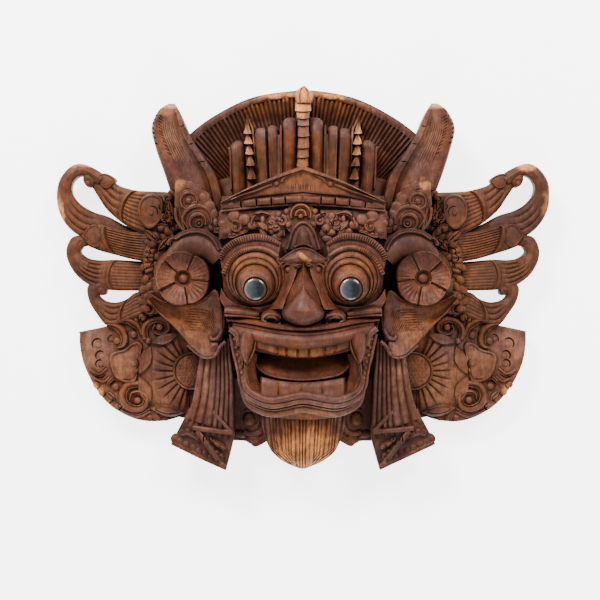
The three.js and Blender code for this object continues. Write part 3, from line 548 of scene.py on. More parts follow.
def crests(work):
    """The scaled crest at each side of the crown, and the tall one in the middle with its finial."""
    side_joints = [39.6, 45.1, 49.8, 54.2, 58.4, 65.0]
    middle = ramp((37, 20.3), (66, 22.7))
    half = ramp((37, 1.8), (50, 1.8), (58, 2.0), (59, 1.5), (65.6, 0.9))
    level = ramp((37, 34.4), (58, 27.4), (59, 24.8), (66, 20))
    side = crest(side_joints, middle, half, level, 2.0, 0.86, 1.9, 0.9)
    work.add(side, mirrored(side))

    # The tall crest in the middle
    joints = [41.6, 44.6, 48.2, 52.0, 56.7, 61.2, 64.0, 66.9, 70.4]
    half = ramp((41, 2.4), (61, 2.35), (64, 2.5), (66.5, 2.9), (67, 3.3), (71, 3.4))
    level = ramp((41, 38.6), (77, 30))
    work.add(crest(joints, ramp((40, 0), (60, 0), (78, 0.5)), half, level, 1.3, 0.12, 1.9, 2.2))

    # The finial: a bud that closes to a point, with a lobe on each side
    bud_a = [(-2.5, 70.2), (-3.0, 72.4), (-2.8, 74.6), (-1.5, 76.0), (0.3, 77.2)]
    bud_b = [(3.5, 70.2), (4.2, 72.0), (4.0, 74.0), (2.4, 75.8), (0.9, 77.1)]
    profile = ramp(
        (0, -1.8), (0.1, -0.2), (0.2, 0.2), (0.28, -0.5), (0.36, 0.3), (0.5, 0.9), (0.64, 0.3),
        (0.72, -0.5), (0.8, 0.2), (0.9, -0.2), (1, -1.8),
    )
    vs = [
        0, 0.05, 0.1, 0.15, 0.2, 0.24, 0.28, 0.32, 0.36, 0.43, 0.5, 0.57, 0.64, 0.68, 0.72, 0.76, 0.8,
        0.85, 0.9, 0.95, 1,
    ]
    work.between(steps(10, 0, 0.99), vs, bud_a, bud_b, lambda u, v: 31.2 + profile(v) - 3.4 * u * u)


def gable(work):
    """The low gable across the brow, its raised edges and the beading and hatching in it."""
    ridge = [(0, 44.6), (16, 38.1), (32.6, 30.2)]
    eave = [(0, 33.7), (16, 32.3), (32.6, 28.8)]
    face = ramp(
        (0, 41.6), (0.04, 43), (0.15, 43.2), (0.19, 41.5), (0.5, 41.0), (0.86, 41.1), (0.9, 41.0),
        (0.97, 40.6), (1, 39.6),
    )
    vs = [0, 0.04, 0.1, 0.15, 0.19, 0.5, 0.86, 0.9, 0.97, 1]
    half = between(steps(12), vs, ridge, eave, lambda u, v: face(v) - 4 * u * u)
    work.add(half, mirrored(half))
    for side in (-1, 1):
        inner = sided(side, [(1.6, 42.2), (5.5, 40.5), (7.8, 39.3), (8.5, 38.0)])
        outer = sided(side, [(12.4, 36.9), (15, 35.9), (18.6, 34.3), (24, 32.6), (28.4, 30.9)])
        work.cord(inner, ramp((0, 0.35), (0.5, 0.6), (1, 0.7)), 42.2, 0.8)
        work.cord(outer, ramp((0, 0.8), (0.4, 0.6), (1, 0.25)), 41.2, 0.8)
        work.bead(side * 10.7, 37.3, 1.3, 41.0, 1.1)
    for k in range(-7, 8):
        x = k * 0.92 + 0.2 * math.sin(k * 2.3)
        work.groove(
            [(x, 34.8), (x * 1.06, 37.9 + 0.4 * math.sin(k * 1.7) - 0.1 * abs(k))], 0.3, 41.25, 0.6, 5,
        )


def eaves(work):
    """The folds under the gable and the row of pads between them."""
    eave_fold = both_ways([(-32.4, 29.6), (-16, 32.0), (0, 32.9)])
    work.cord(eave_fold, 0.8, ramp((0, 36.2), (0.5, 40.2), (1, 36.2)), 0.6, 30)
    edges = [0, 8.3, 13.2, 18.6, 23.8, 32.4]
    brow = line([(0, 31.3), (16, 30.2), (32.6, 28.5)])
    for side in (-1, 1):
        for first, last in zip(edges[:-1], edges[1:]):
            u = steps(6, (first + (0.28 if first else 0)) / 32.6, (last - 0.28) / 32.6)
            x, y = brow(u)
            path = [(side * a, b) for a, b in zip(x, y)]

            def height(t, v):
                top = 41.0 - 4 * (lerp(first, last, t) / 32.6) ** 2
                return top - 0.6 + 0.9 * arched(v) * (0.35 + 0.65 * arched(t) ** 0.6)

            work.band(steps(8), ROUND, path, 1.45, height)
    work.cord(both_ways([(-32.4, 26.6), (-16, 28.4), (0, 29.2)]), 0.5, 38.6, 0.7, 30)


# The tall leaf: its two edges, its level along them and its profile across
TALL_LEAF_EDGES = (
    [(31.5, 27), (34.0, 40.4), (39.2, 48.4), (45.3, 57.6), (49.0, 66.0), (51.6, 70.6)],
    [(49, 22), (56.0, 42), (59.9, 53.8), (61.2, 61.0), (58.6, 66.6), (54.2, 70.6)],
)
TALL_LEAF_LEVEL = ramp((0, 17), (0.8, 24), (0.875, 24.8), (0.88, 24.6), (1, 20.4))
TALL_LEAF_PROFILE = ramp(
    (0, -0.8), (0.03, 1.0), (0.1, 1.7), (0.19, 1.5), (0.22, -0.2), (0.3, -1.1), (0.45, -0.4),
    (0.65, 0.6), (0.85, 0.7), (0.95, -0.2), (1, -1.8),
)


def tall_leaf(work):
    """The tall feather leaf: a notched raised rim on its inner side and a slanting tip."""
    inner, outer = TALL_LEAF_EDGES
    vs = [
        0, 0.03, 0.06, 0.1, 0.15, 0.19, 0.205, 0.22, 0.26, 0.3, 0.37, 0.45, 0.55, 0.65, 0.75, 0.85, 0.91,
        0.95, 1,
    ]
    us = [*steps(22, 0, 0.8), 0.82, 0.84, 0.86, 0.87, 0.88, 0.9, 0.93, 0.96, 1]

    def underside(u, v):
        return FLOOR - 1 + 16 * u * u

    def height(u, v):
        rim = 1 - smooth(u, 0.74, 0.86)
        scallop = 0.9 * rippled(u, 17) * smooth(v, 0.9, 1.0) * smooth(u, 0.4, 0.5)
        scallop = scallop * (1 - smooth(u, 0.8, 0.86))
        return TALL_LEAF_LEVEL(u) + TALL_LEAF_PROFILE(v) * lerp(0.3, 1, rim) - scallop

    work.between(us, vs, inner, outer, height, underside)


def tall_leaf_cuts(work):
    """The lines along the leaf, the hatching, the nicks of its rim and the notches of its outer edge."""
    inner, outer = TALL_LEAF_EDGES
    level, profile = TALL_LEAF_LEVEL, TALL_LEAF_PROFILE
    for k, share in enumerate(steps(6, 0.4, 0.72)):
        start, end = 0.2 + 0.03 * (k % 3), 0.78 - 0.03 * (k % 4)
        face = lambda u, s=share, a=start, b=end: level(lerp(a, b, u)) + profile(s)
        work.groove(along(inner, outer, share, start, end), 0.26, face, 0.28, 10)
    for k in range(12):
        u = 0.36 + 0.035 * k
        (ax, ay), (bx, by) = line(inner)(np.array(u)), line(outer)(np.array(u))
        x, y = lerp(ax, bx, 0.74), lerp(ay, by, 0.74)
        work.groove([(x + 1.1, y + 0.8), (x - 1.0, y - 0.8)], 0.3, level(u) + 0.75, 0.7, 5)
    for u in (0.34, 0.5, 0.66):
        notch = [
            *along(inner, outer, 0.2, u, u + 0.001, 1),
            *along(inner, outer, 0.02, u + 0.03, u + 0.031, 1),
        ]
        work.groove(notch, 0.35, level(u) + 1.7, 0.7, 5, ends=SQUARE_ENDS)
    for k in range(6):
        u = 0.3 + 0.062 * k
        work.groove(along(inner, outer, 0.21, u, u + 0.04, 4), 0.4, level(u) + 0.9, 0.5, 5)
    for k in range(7):
        u = 0.44 + 0.056 * k
        ends = [
            *along(inner, outer, 1.03, u, u + 0.001, 1),
            *along(inner, outer, 0.94, u - 0.014, u - 0.013, 1),
        ]
        work.groove(ends, 0.45, level(u) - 0.9, 1.3, 4, ends=SQUARE_ENDS)


def brim_leaf(work):
    """The quarter-round leaf in front of the tall one: lobes along its edge and two scrolls."""
    outer = [(51, 40), (51.1, 35), (51.3, 30), (50.8, 25), (49.6, 20)]
    inner = [(50.4, 40), (42.8, 37.6), (37.4, 32.4), (34.1, 26), (31.8, 18)]
    level = lambda u, v: 29.8 + 1.2 * v - u
    work.between(steps(16), steps(5), outer, inner, level)
    for x, y, radius in (
        (45.2, 37.2, 1.7), (42.2, 35.2, 2.3), (39.4, 32.2, 2.5), (37.3, 28.8, 2.3), (35.8, 25.6, 2.1),
        (34.6, 22.4, 1.9),
    ):
        work.bead(x, y, radius, 30.2, 0.8, 18)
    work.bead(45.7, 31.1, 1.5, 30.6, 1.2)
    work.nick(45.7, 31.1, 2.1, -60, 200, 31.0, 0.5, 1.3)
    work.fern(arc(45.7, 31.1, 3.4, -70, 215, 12), ramp((0, 0.5), (0.5, 1.0), (1, 0.5)), 30.6, 0.4, 1)
    work.eyed(41.5, 21.9, 1.8, 30.6)
    work.fern(arc(42.1, 22.6, 3.4, -60, 200, 12), ramp((0, 0.6), (0.5, 1.4), (1, 0.6)), 30.6, 0.5, 1)
    work.fern(arc(42.4, 23.4, 6.0, -35, 195, 14), ramp((0, 0.6), (0.5, 1.5), (1, 0.6)), 30.3, 0.5, 1)
    work.cord([(51.0, 28.4), (50.3, 23.4), (46.8, 18.4)], 0.6, 31.0, 0.7)
    work.cord([(49.4, 28.0), (48.4, 24.2), (45.8, 20.0)], 0.45, 30.8, 0.6)
    work.groove([(50.8, 37.6), (47.6, 36.2), (44.6, 35.4)], 0.3, 30.4, 0.6)
    work.foliage([(37, 21), (33.6, 25), (32.6, 18), (38, 17.6)], 2.4, 30.2, 4)


# The sides

def side_block(work):
    """The block between the face and the flowers that carries the ears, the plumes and the leaves."""
    inner = [(22, 43), (22, 18), (22, 0), (22, -18), (24, -34)]
    outer = [(54, 36), (63.5, 24), (64.5, 4), (62.5, -13), (46, -30)]
    work.between(steps(8), steps(4), inner, outer, lambda u, v: 15 - 5 * v)
    work.between(steps(2), steps(2), [(20, -20), (20, -54)], [(48, -14), (48, -50)], lambda u, v: 8 + 0 * u)


def plume(work, edges, ribs=0, window=(0.0, 1.0), roof=0.0, rows=26, arch=1.7):
    """A strip of plume between two edges: rounded, ribbed over part of its length, or roof-shaped."""
    edge_a, edge_b, level = edges
    count = max(10, ribs * 6)

    def height(u, v):
        fade = smooth(u, window[0], window[0] + 0.08) * (1 - smooth(u, window[1] - 0.16, window[1]))
        rib = 0.75 * (1 - furrowed(v, ribs)) ** 1.6 * fade if ribs else 0
        ridge = roof * (1 - np.abs(2 * v - 1) ** 0.8) * smooth(u, 0.4, 0.6)
        return level(u) - arch * (1 - arched(0.05 + 0.9 * v)) - rib + ridge

    vs = steps(count) if ribs else [0, 0.04, 0.12, 0.24, 0.38, 0.5, 0.62, 0.76, 0.88, 0.96, 1]
    work.between(steps(rows), vs, edge_a, edge_b, height)


def overlay(work, edges, start, end, ribs, lift=0.9, bulge=0.08, rows=10, depth=0.8, arch=1.7):
    """A leaf segment that lies over a plume, ribbed, its far end rounded and rimmed."""
    a, b = line(edges[0]), line(edges[1])
    level = edges[2]

    def front(u, v):
        share = lerp(start, end - bulge * (1 - arched(v)), u)
        (ax, ay), (bx, by) = a(share), b(share)
        rib = depth * (1 - furrowed(v, ribs)) ** 1.5 * smooth(u, 0.02, 0.1) * (1 - smooth(u, 0.82, 0.9))
        rim = 0.35 * smooth(u, 0.88, 0.92) * (1 - smooth(u, 0.97, 1.0))
        groove_line = 0.8 * np.exp(-((u - 0.86) / 0.018) ** 2)
        top = level(share) - arch * (1 - arched(0.05 + 0.9 * v)) + lift - rib + rim - groove_line
        return lerp(ax, bx, 0.03 + 0.94 * v), lerp(ay, by, 0.03 + 0.94 * v), top

    us = [*steps(rows - 4, 0, 0.8), 0.84, 0.86, 0.88, 0.92, 0.97, 1]
    work.sheet(us, steps(ribs * 6), front)


# The plumes of one side: the two edges of each, and its level along the way
TOP_LEAF = (
    [(53, 35), (60, 35.3), (66, 35.7), (71, 36.9), (75.4, 38.5), (79, 41.5), (82.5, 42.6)],
    [(58, 16), (65, 18.6), (71, 21.4), (75.5, 24.6), (80, 28.9), (83, 33.4), (85.8, 37.8)],
    ramp((0, 17.4), (0.7, 14.6), (1, 13.4)),
)
TOP_CURL = (
    [(64, 19.6), (72, 21.8), (79.5, 25.7), (85.6, 27.6), (90.4, 30.4), (93.3, 33.7), (94.2, 36.9),
     (93.4, 39.8), (91, 41.9), (88.2, 41.9), (85.5, 39.8), (83.5, 38.5)],
    [(64, 17.4), (73, 18.2), (82, 18.4), (89, 17.2), (95, 21), (98.8, 27), (100, 34),
     (98.9, 40.5), (94.8, 45.6), (90, 46.9), (84.5, 45), (80.5, 42.3)],
    ramp((0, 12.4), (0.4, 14.4), (1, 14.8)),
)
MIDDLE_LEAF = (
    [(62, 18.8), (70, 19.2), (79, 21.4), (84, 22.8), (88.2, 20.6), (92, 17)],
    [(62, 6.7), (70.5, 8.1), (75.5, 9.5), (82.5, 11.7), (87, 13.6), (89.5, 14.9)],
    ramp((0, 16.4), (0.75, 14.4), (1, 12)),
)
MIDDLE_CURL = (
    [(60, 6.9), (70, 7.4), (77, 7.8), (83, 7.7), (87.6, 8.6), (90.3, 10.8), (89.9, 12.6), (88.2, 14.2),
     (86.8, 15.2)],
    [(60, -4.6), (70, -4.6), (78, -4.5), (85, -3.3), (91.3, 0.8), (95.3, 7), (96, 12.5), (93.5, 17.3),
     (88.8, 18)],
    ramp((0, 13.4), (0.5, 13.9), (1, 13.5)),
)
LOW_CURL = (
    [(60, -4.4), (67.7, -5.2), (71.6, -8), (76.2, -9.4), (80.4, -8.9), (83, -6.9), (81.8, -4.9),
     (79.6, -3.8)],
    [(57, -14), (66, -15), (73, -17.4), (79.5, -19), (84, -13.8), (87, -8.5), (87.6, -3), (84, -0.4)],
    ramp((0, 14.4), (0.6, 12.9), (1, 13)),
)


def plumes(work):
    """The plumes of one side, each with the ribbed leaf segment that lies over its root."""
    plume(work, TOP_LEAF, 4, (0.5, 0.9))
    overlay(work, TOP_LEAF, 0.06, 0.52, 9, 1.0, 0.1, depth=0.45)
    plume(work, TOP_CURL, 4, (0.22, 0.5), roof=0.7, rows=34)
    plume(work, MIDDLE_LEAF, 3, (0.5, 0.74))
    overlay(work, MIDDLE_LEAF, 0.04, 0.54, 10, 0.9, 0.07, depth=0.55)
    plume(work, MIDDLE_CURL, 6, (0.3, 0.6), roof=0.6, rows=30)
    overlay(work, MIDDLE_CURL, 0.02, 0.3, 9, 0.5, 0.05, depth=0.28)
    plume(work, LOW_CURL, 4, (0.3, 0.62), roof=0.5, rows=26)
    overlay(work, LOW_CURL, 0.04, 0.36, 6, 0.6, 0.06, depth=0.35)
    work.beads((77.6, 1.6, 2.6, 13.2, 1.0, 18, 1.5, 0.15), (88.6, 6.6, 1.9, 13.6, 0.8, 14, 0.8, 0.6))


def knuckles(work):
    """The knuckles where one leaf grows out of the next."""
    joint = [
        (82.4, 42.9), (79.4, 42.9), (76.1, 40.6), (77.3, 38.4), (79.2, 36.8), (81.6, 37.5), (82.6, 40.1),
    ]
    work.pad(joint, 14.4, 0.7, 0.5)
    work.bead(87.0, 40.5, 3.1, 14.0, 1.3, squeeze=0.78, turn=1.2)
    work.bead(87.3, 39.0, 1.3, 15.0, 0.9)
    work.nick(87.3, 39.0, 1.8, 10, 190, 15.4, 0.4, 1.0)
    nut = [
        (89.9, 17.6), (87.0, 21.6), (84.0, 22.6), (81.2, 20.1), (80.4, 16.9), (82.4, 13.8), (84.4, 12.8),
        (86.8, 13.8),
    ]
    work.pad(nut, 14.0, 0.9, 0.6)
    work.nick(84.4, 17.6, 2.0, 120, 330, 15.6, 0.4, 0.8)
    work.bead(89.4, 15.4, 2.3, 13.2, 1.3, squeeze=0.8, turn=0.5)
    work.bead(81.9, -4.6, 2.2, 12.6, 1.2, squeeze=0.8, turn=0.8)
    work.groove([(91.8, 13.6), (89.8, 14.6), (88.6, 17.0)], 0.4, 14.8, 1.0)
    work.groove([(84.6, -5.2), (82.4, -5.6), (80.6, -3.4)], 0.4, 13.8, 1.0)


def plume_roots(work):
    """The upright strip of small leaves and scrolls that the plumes grow from."""
    strip = [
        (51.5, 36), (57.5, 34.5), (57.5, 20), (63.5, 19), (65, 0), (66.5, -15), (60, -15), (59.5, -3),
        (59.5, 6), (55, 12), (51.5, 20),
    ]
    work.foliage(strip, 3.4, 17.8, 7)
    eyed_leaf = [
        (66.1, 23.6), (66.6, 29), (64.5, 33), (60.5, 34.4), (56.9, 32.6), (56.5, 28), (58, 22.5),
        (62.2, 19.8),
    ]
    work.pad(eyed_leaf, 18.8, 0.9, 0.7)
    work.nick(60.9, 27.0, 2.3, 50, 250, 20.4, 0.6, 1.7)
    work.bead(61.2, 26.4, 1.0, 19.8, 0.8)
    stem = [(60.8, 14.2), (62.2, 10.4), (62.4, 6.4), (61.6, 2.6)]
    work.band(
        steps(42), ROUND, stem, ramp((0, 1.6), (0.3, 2.4), (1, 1.9)),
        lambda u, v: 18.2 + (1.3 - 0.8 * (1 - furrowed(u, 6)) ** 1.2) * arched(v),
    )
    work.bead(60.6, 14.6, 2.1, 19.2, 1.3, 16, 0.85, 0.7)
    for k, y in enumerate((0.2, -3.4, -7.0, -10.6)):
        x = 61.6 + 0.1 * k
        path = [(x - 2.6, y + 2.0), (x + 0.4, y + 1.6), (x + 2.2, y), (x + 2.4, y - 1.8)]
        work.frond(path, 1.3, 17.4, 2, -1, 0.8)
    work.scroll(55.4, 25.2, 2.9, 90, 0.9, 19.8, 0.34)
    work.frond([(58.6, 20.6), (55.6, 20.4), (53.2, 17.4), (53.4, 13.6)], 2.0, 19.4, 3, 1, 1.0)
    work.scroll(62.4, -12.4, 2.7, 20, 0.9, 16.4)
    work.beads((57.6, -11.4, 1.7, 17, 1.0), (65.2, -15.4, 1.6, 14.6, 1.0), (54.4, 33.2, 1.8, 19.2, 1.0))
    work.leaflet((64.0, 19.8), (57.8, 14.2), 1.6, 19.8)
    work.leaflet((54.0, 31.6), (52.6, 21.6), 1.5, 20.0)
    work.leaflet((58.4, 11.4), (53.2, 17.2), 1.5, 19.6)


def ear_crescent(work):
    """The fat crescent over each flower, the top of the ear, with a rolled edge."""
    path = [(53.4, 8.8), (48.4, 12.4), (42.8, 13.2), (37.8, 11.4), (33.8, 7.4)]
    width = ramp((0, 1.6), (0.3, 4.4), (0.6, 4.7), (1, 3.0))
    work.band(steps(22), steps(12), path, width, lambda u, v: 30.8 + 2.2 * arched(v))
    rim = [(50.6, 15.6), (46.9, 17.8), (42.6, 18.6), (38.4, 17.6), (35.0, 14.9), (33.4, 11.4)]
    work.band(steps(20), steps(4), rim, 1.5, lambda u, v: 31.7)
    work.cord(rim, 0.6, 33.2, 0.9)
    work.pad([(32.4, 23), (37.6, 22), (39.4, 18.4), (36.4, 14.6), (33, 11.6)], 27.6, 0.8)
    work.beads((35.4, 19.4, 1.9, 28.0, 1.2), (34.4, 15.6, 1.5, 28.0, 1.0))
    work.scroll(51.2, 14.2, 2.2, -20, 0.85, 31.8, 0.34)
    plate = [
        (36, 13), (47, 13.4), (54.6, 11.6), (58.8, 7), (60.6, 0), (59.6, -7), (55, -12), (47, -13.6),
        (36, -13),
    ]
    work.pad(plate, 19.6, 8.0)


def ear_flower(work):
    """The flower in front of each ear: overlapping petals, a sunk ring and a boss."""
    cx, cy = 47.4, 0.0
    radius = 10.9
    first_petal = math.radians(43)
    petal_turn = 2 * math.pi / PETALS
    level = ramp(
        (0, 35.0), (0.2, 35.0), (0.26, 35.8), (0.31, 37.0), (0.4, 37.3), (0.91, 38.7), (0.95, 39.5),
        (1, 38.3),
    )

    def front(angle, share):
        p = np.mod((angle - first_petal) / petal_turn, 1)
        scallop = 0.93 + 0.07 * np.sqrt(np.abs(np.sin(np.pi * p)))
        reach = radius * share * np.where(share > 0.5, lerp(1, scallop, smooth(share, 0.5, 1)), 1)
        tip = 2.0 * (0.5 - p) * smooth(share, 0.34, 0.5)
        fine = 0.26 * (1 - furrowed(p, 6)) ** 1.5 * smooth(share, 0.38, 0.5)
        fine = fine * (1 - smooth(share, 0.84, 0.93))
        dish = 0.5 * np.sin(np.pi * smooth(share, 0.4, 0.9))
        return cx + np.cos(angle) * reach, cy + np.sin(angle) * reach, level(share) + tip - fine - dish

    rings = [0.12, 0.2, 0.26, 0.29, 0.31, 0.4, 0.52, 0.64, 0.76, 0.85, 0.92, 0.96, 1]
    count = PETALS * 40
    work.disc(count, rings, front, start=first_petal + petal_turn * 0.5 / 40)
    work.bead(cx, cy, 2.1, 35.6, 2.0, 20)
    for k in range(PETALS):
        angle = first_petal + k * petal_turn
        path = [(cx + math.cos(angle) * r, cy + math.sin(angle) * r) for r in (3.4, 7, 10.8)]
        work.groove(path, 0.8 if k == 4 else 0.42, lambda u: 37.4 + 1.4 * u, 1.7, 6, ends=SQUARE_ENDS)


def ear(work):
    """The ear: a hanging shell with a broad smooth lower rim and fine lines on the side of the face."""
    upper = [
        (61, -5.5), (55.4, -8.8), (47.4, -10.6), (40.4, -8.6), (34.4, -4.6), (32.2, -12), (32, -20.4),
        (32.6, -25.6),
    ]
    lower = [
        (61.6, -8.4), (57, -14), (52, -18.6), (47.6, -23.4), (43.6, -27.8), (39.8, -30.6), (36.1, -31.2),
        (33.4, -28.6),
    ]
    dish = ramp(
        (0, 1.6), (0.04, 1.8), (0.12, 0.3), (0.35, -1.2), (0.6, -1.6), (0.75, -0.2), (0.88, 1.3),
        (0.95, 1.2), (1, -0.6),
    )
    level = lambda u: 29 + 4 * np.sin(np.pi * u)
    edge_a, edge_b = line(upper), line(lower)

    def shell(u, v):
        (ax, ay), (bx, by) = edge_a(u), edge_b(u)
        x, y = lerp(ax, bx, v), lerp(ay, by, v)
        low = -12.0 - 1.05 * EAR_GROOVES
        window = smooth(x, 34.2, 35.6) * (1 - smooth(x + 0.5 * y, 37.2, 40.2))
        window = window * smooth(y, low - 0.6, low + 0.6) * (1 - smooth(y, -12.4, -11.6))
        return x, y, level(u) + dish(v) - 0.55 * (1 - furrowed((y - 0.08 * x) / 1.05, 1)) ** 1.3 * window

    work.sheet(steps(40), steps(70), shell)
    work.cord(
        [(33.2, -9.4), (32.0, -14), (32.0, -19.6), (33.8, -23.4), (36.0, -24.2), (36.8, -22.8)], 0.8,
        32.2, 1.0,
    )
    work.cord(
        [(45.6, -26.4), (41.2, -30.2), (37.6, -31.3), (34.6, -30.2), (33.0, -27.2), (30.8, -25.0)], 0.8,
        31.6, 1.2,
    )
    work.pad([(36.4, -25.6), (37.6, -28.0), (35.6, -29.4), (33.8, -27.4), (34.2, -25.4)], 31.0, 0.8)
    for k in range(5):
        work.groove(
            [(33.4 + k * 0.7, -25.4 - 0.4 * k), (33.8 + k * 0.6, -27.6 - 0.3 * k)], 0.24, 31.9, 0.5, 4,
        )


# The wings and the sashes

WING_CENTRE = (44.9, -37.2)
WING_LEVEL = 10.5


def wing(work):
    """The plate under each plume that carries the carving of the wing."""
    cx, cy = WING_CENTRE
    edge = line([
        (46, -10), (56, -10.5), (68.2, -14.6), (79.6, -18.9), (90.9, -21.3), (90.9, -21.7), (90.7, -26.8),
        (88.9, -35.3), (84.8, -43.8), (78.8, -50.7), (71.4, -55.6), (64.1, -57.8), (56, -57.6),
        (48.3, -55.2), (40, -50), (34, -44),
    ])

    def front(u, v):
        ex, ey = edge(u)
        return lerp(cx, ex, v), lerp(cy, ey, v), WING_LEVEL + 2.2 * (1 - v) + 0.2

    work.sheet(steps(90), [0.12, 0.3, 0.5, 0.7, 0.85, 0.96, 1], front)


def wing_sun(work):
    """Half a sun at the middle of the wing: a rimmed disc, its beads, and the folded rays around it."""
    cx, cy = WING_CENTRE
    sun_level = ramp(
        (0, 14.6), (0.5, 14.6), (0.8, 14.3), (0.87, 14.0), (0.9, 15.0), (0.95, 15.2), (1, 14.2),
    )
    sun = lambda angle, share: (
        cx + 8 * share * np.cos(angle), cy + 8 * share * np.sin(angle), sun_level(share),
    )
    work.disc(48, [0.3, 0.5, 0.8, 0.87, 0.9, 0.95, 1], sun)
    chance = np.random.default_rng(11)
    for row in range(-4, 5):
        for place in range(-4, 5):
            x, y = (place + 0.5 * (row % 2)) * 1.5, row * 1.35
            if math.hypot(x, y) < 5.9 and x > -3:
                dx, dy = chance.uniform(-0.25, 0.25, 2)
                work.bead(cx + x + dx, cy + y + dy, 0.68, 14.3, 0.8, 8, 0.85, row)

    def rays(u, v):
        angle = np.radians(lerp(-80, 66, u)) + 0.12 * v * (2 * u - 1)
        reach = lerp(7.4, 19.6, v)
        fold = (1 - (1 - furrowed(u, WING_RAYS)) ** 2.6) * (1 - smooth(v, 0.4, 0.95)) * smooth(u, 0, 0.05)
        fold = fold * (1 - smooth(u, 0.95, 1))
        x, y = cx + np.cos(angle) * reach, cy + np.sin(angle) * reach
        return x, y, WING_LEVEL + 2.35 - 0.058 * reach + 1.15 * fold

    work.sheet(steps(WING_RAYS * 12), [0, 0.12, 0.3, 0.45, 0.6, 0.75, 0.88, 1], rays)


ORNAMENT_LEVEL = WING_LEVEL + 1.2


def wing_shield(work):
    """The shield, the petals and the low scroll in the outer half of the wing."""
    top = ORNAMENT_LEVEL
    shield = [
        (66.9, -24.9), (69.6, -25.9), (72.6, -28.4), (78.2, -30.4), (78.7, -34.6), (76.6, -39.9),
        (72.4, -42.2), (68.4, -42.2), (67.0, -37.2), (65.9, -31.0), (65.2, -26.6),
    ]
    work.pad(shield, top + 0.4, 0.9, 1.1, 66)
    work.bead(69.0, -34.5, 1.4, top + 1.1, 0.8)
    work.nick(69.0, -34.5, 2.2, 90, 270, top + 1.5, 0.6, 1.3)
    work.groove([(67.4, -37.6), (69.6, -40.4), (73.4, -40.6)], 0.5, top + 1.2, 0.6, 8)
    work.lens((62.2, -26.6), (66.9, -39.0), 2.9, top + 0.5, 0.7, 0.7, -0.15)
    work.lens((67.0, -39.3), (62.4, -51.2), 2.9, top + 0.5, 0.7, 0.7, -0.15)
    low_scroll = [
        (67.0, -42.5), (71.6, -43.4), (73.4, -47.4), (71.6, -51.4), (67.3, -52.9), (64.2, -51.2),
        (63.9, -48.0), (66.6, -45.9), (69.6, -46.4), (70.2, -49.0),
    ]
    work.fern(low_scroll, ramp((0, 1.5), (0.2, 1.9), (0.6, 1.4), (1, 0.5)), top + 0.8, 0.9, 1, 36)
    work.bead(67.4, -49.4, 1.5, top + 0.8, 1.0)
    for shift in (0, 1.4):
        path = [(74.6 + 0.3 * shift, -51.4 - shift), (67.6, -55.0 - shift * 0.7), (62.2, -52.6 - shift)]
        work.cord(path, 0.55, top + 0.3, 0.7)
    work.lens((62.8, -52.0), (47.6, -54.4), 2.6, top + 0.2, 0.6, 0.7, 0.1)
    work.lens((60.2, -52.7), (50.6, -53.9), 1.3, top + 0.9, 0.5, 0.3, 0.1)
    work.bead(76.2, -43.6, 1.5, top + 0.4, 0.9)
    work.nick(76.2, -43.6, 2.2, -60, 170, top, 0.55, 1.4)
    work.leaflet((79.8, -42.6), (76.6, -39.4), 1.2, top + 0.3, 0.2)
    work.leaflet((79.8, -45.6), (75.8, -49.2), 1.3, top + 0.1)


def wing_scrolls(work):
    """The two blades at the top of the wing and the scroll towards the ear."""
    top = ORNAMENT_LEVEL
    outer_blade = [(79.8, -18.5), (76.4, -19.0), (73.7, -21.0), (72.6, -24.2), (73.3, -26.8), (75.6, -28.0)]
    work.fern(outer_blade, ramp((0, 0.5), (0.35, 1.9), (0.75, 1.6), (1, 0.5)), top + 0.8, 0.9, -1, 30)
    work.beads((75.7, -25.2, 1.6, top + 0.6, 1.1), (77.9, -24.6, 1.0, top, 0.7))
    work.nick(77.6, -24.6, 1.9, -50, 130, top, 0.55, 1.4)
    inner_blade = [(74.6, -16.7), (70.8, -17.0), (67.4, -19.2), (66.0, -22.8)]
    work.fern(inner_blade, ramp((0, 0.4), (0.5, 1.8), (1, 0.7)), top + 0.9, 0.9, -1, 24)
    work.bead(69.0, -22.6, 1.5, top + 0.6, 0.9)
    work.nick(69.4, -22.4, 2.0, -20, 150, top + 0.2, 0.5, 1.3)
    ear_scroll = [
        (64.1, -24.4), (64.8, -20.5), (62.8, -17.5), (58.9, -16.2), (55.6, -17.7), (54.9, -20.1),
        (56.6, -22.0), (59.2, -22.2), (61.0, -20.6), (60.2, -18.6),
    ]
    work.fern(ear_scroll, ramp((0, 1.5), (0.4, 1.5), (1, 0.45)), top + 1.3, 0.8, -1, 34)
    work.bead(58.4, -19.6, 1.5, top + 1.4, 1.1)
    work.lens((62.4, -25.6), (50.6, -22.2), 2.3, top + 1.3, 0.7, 0.7, 0.25)
    work.bead(62.9, -25.0, 1.3, top + 1.3, 0.8)
    corner = [(55, -11.6), (67, -15.4), (70.4, -17.8), (66, -18.6), (62, -15.2), (55, -15.4)]
    work.foliage(corner, 2.3, top + 0.4, 3)


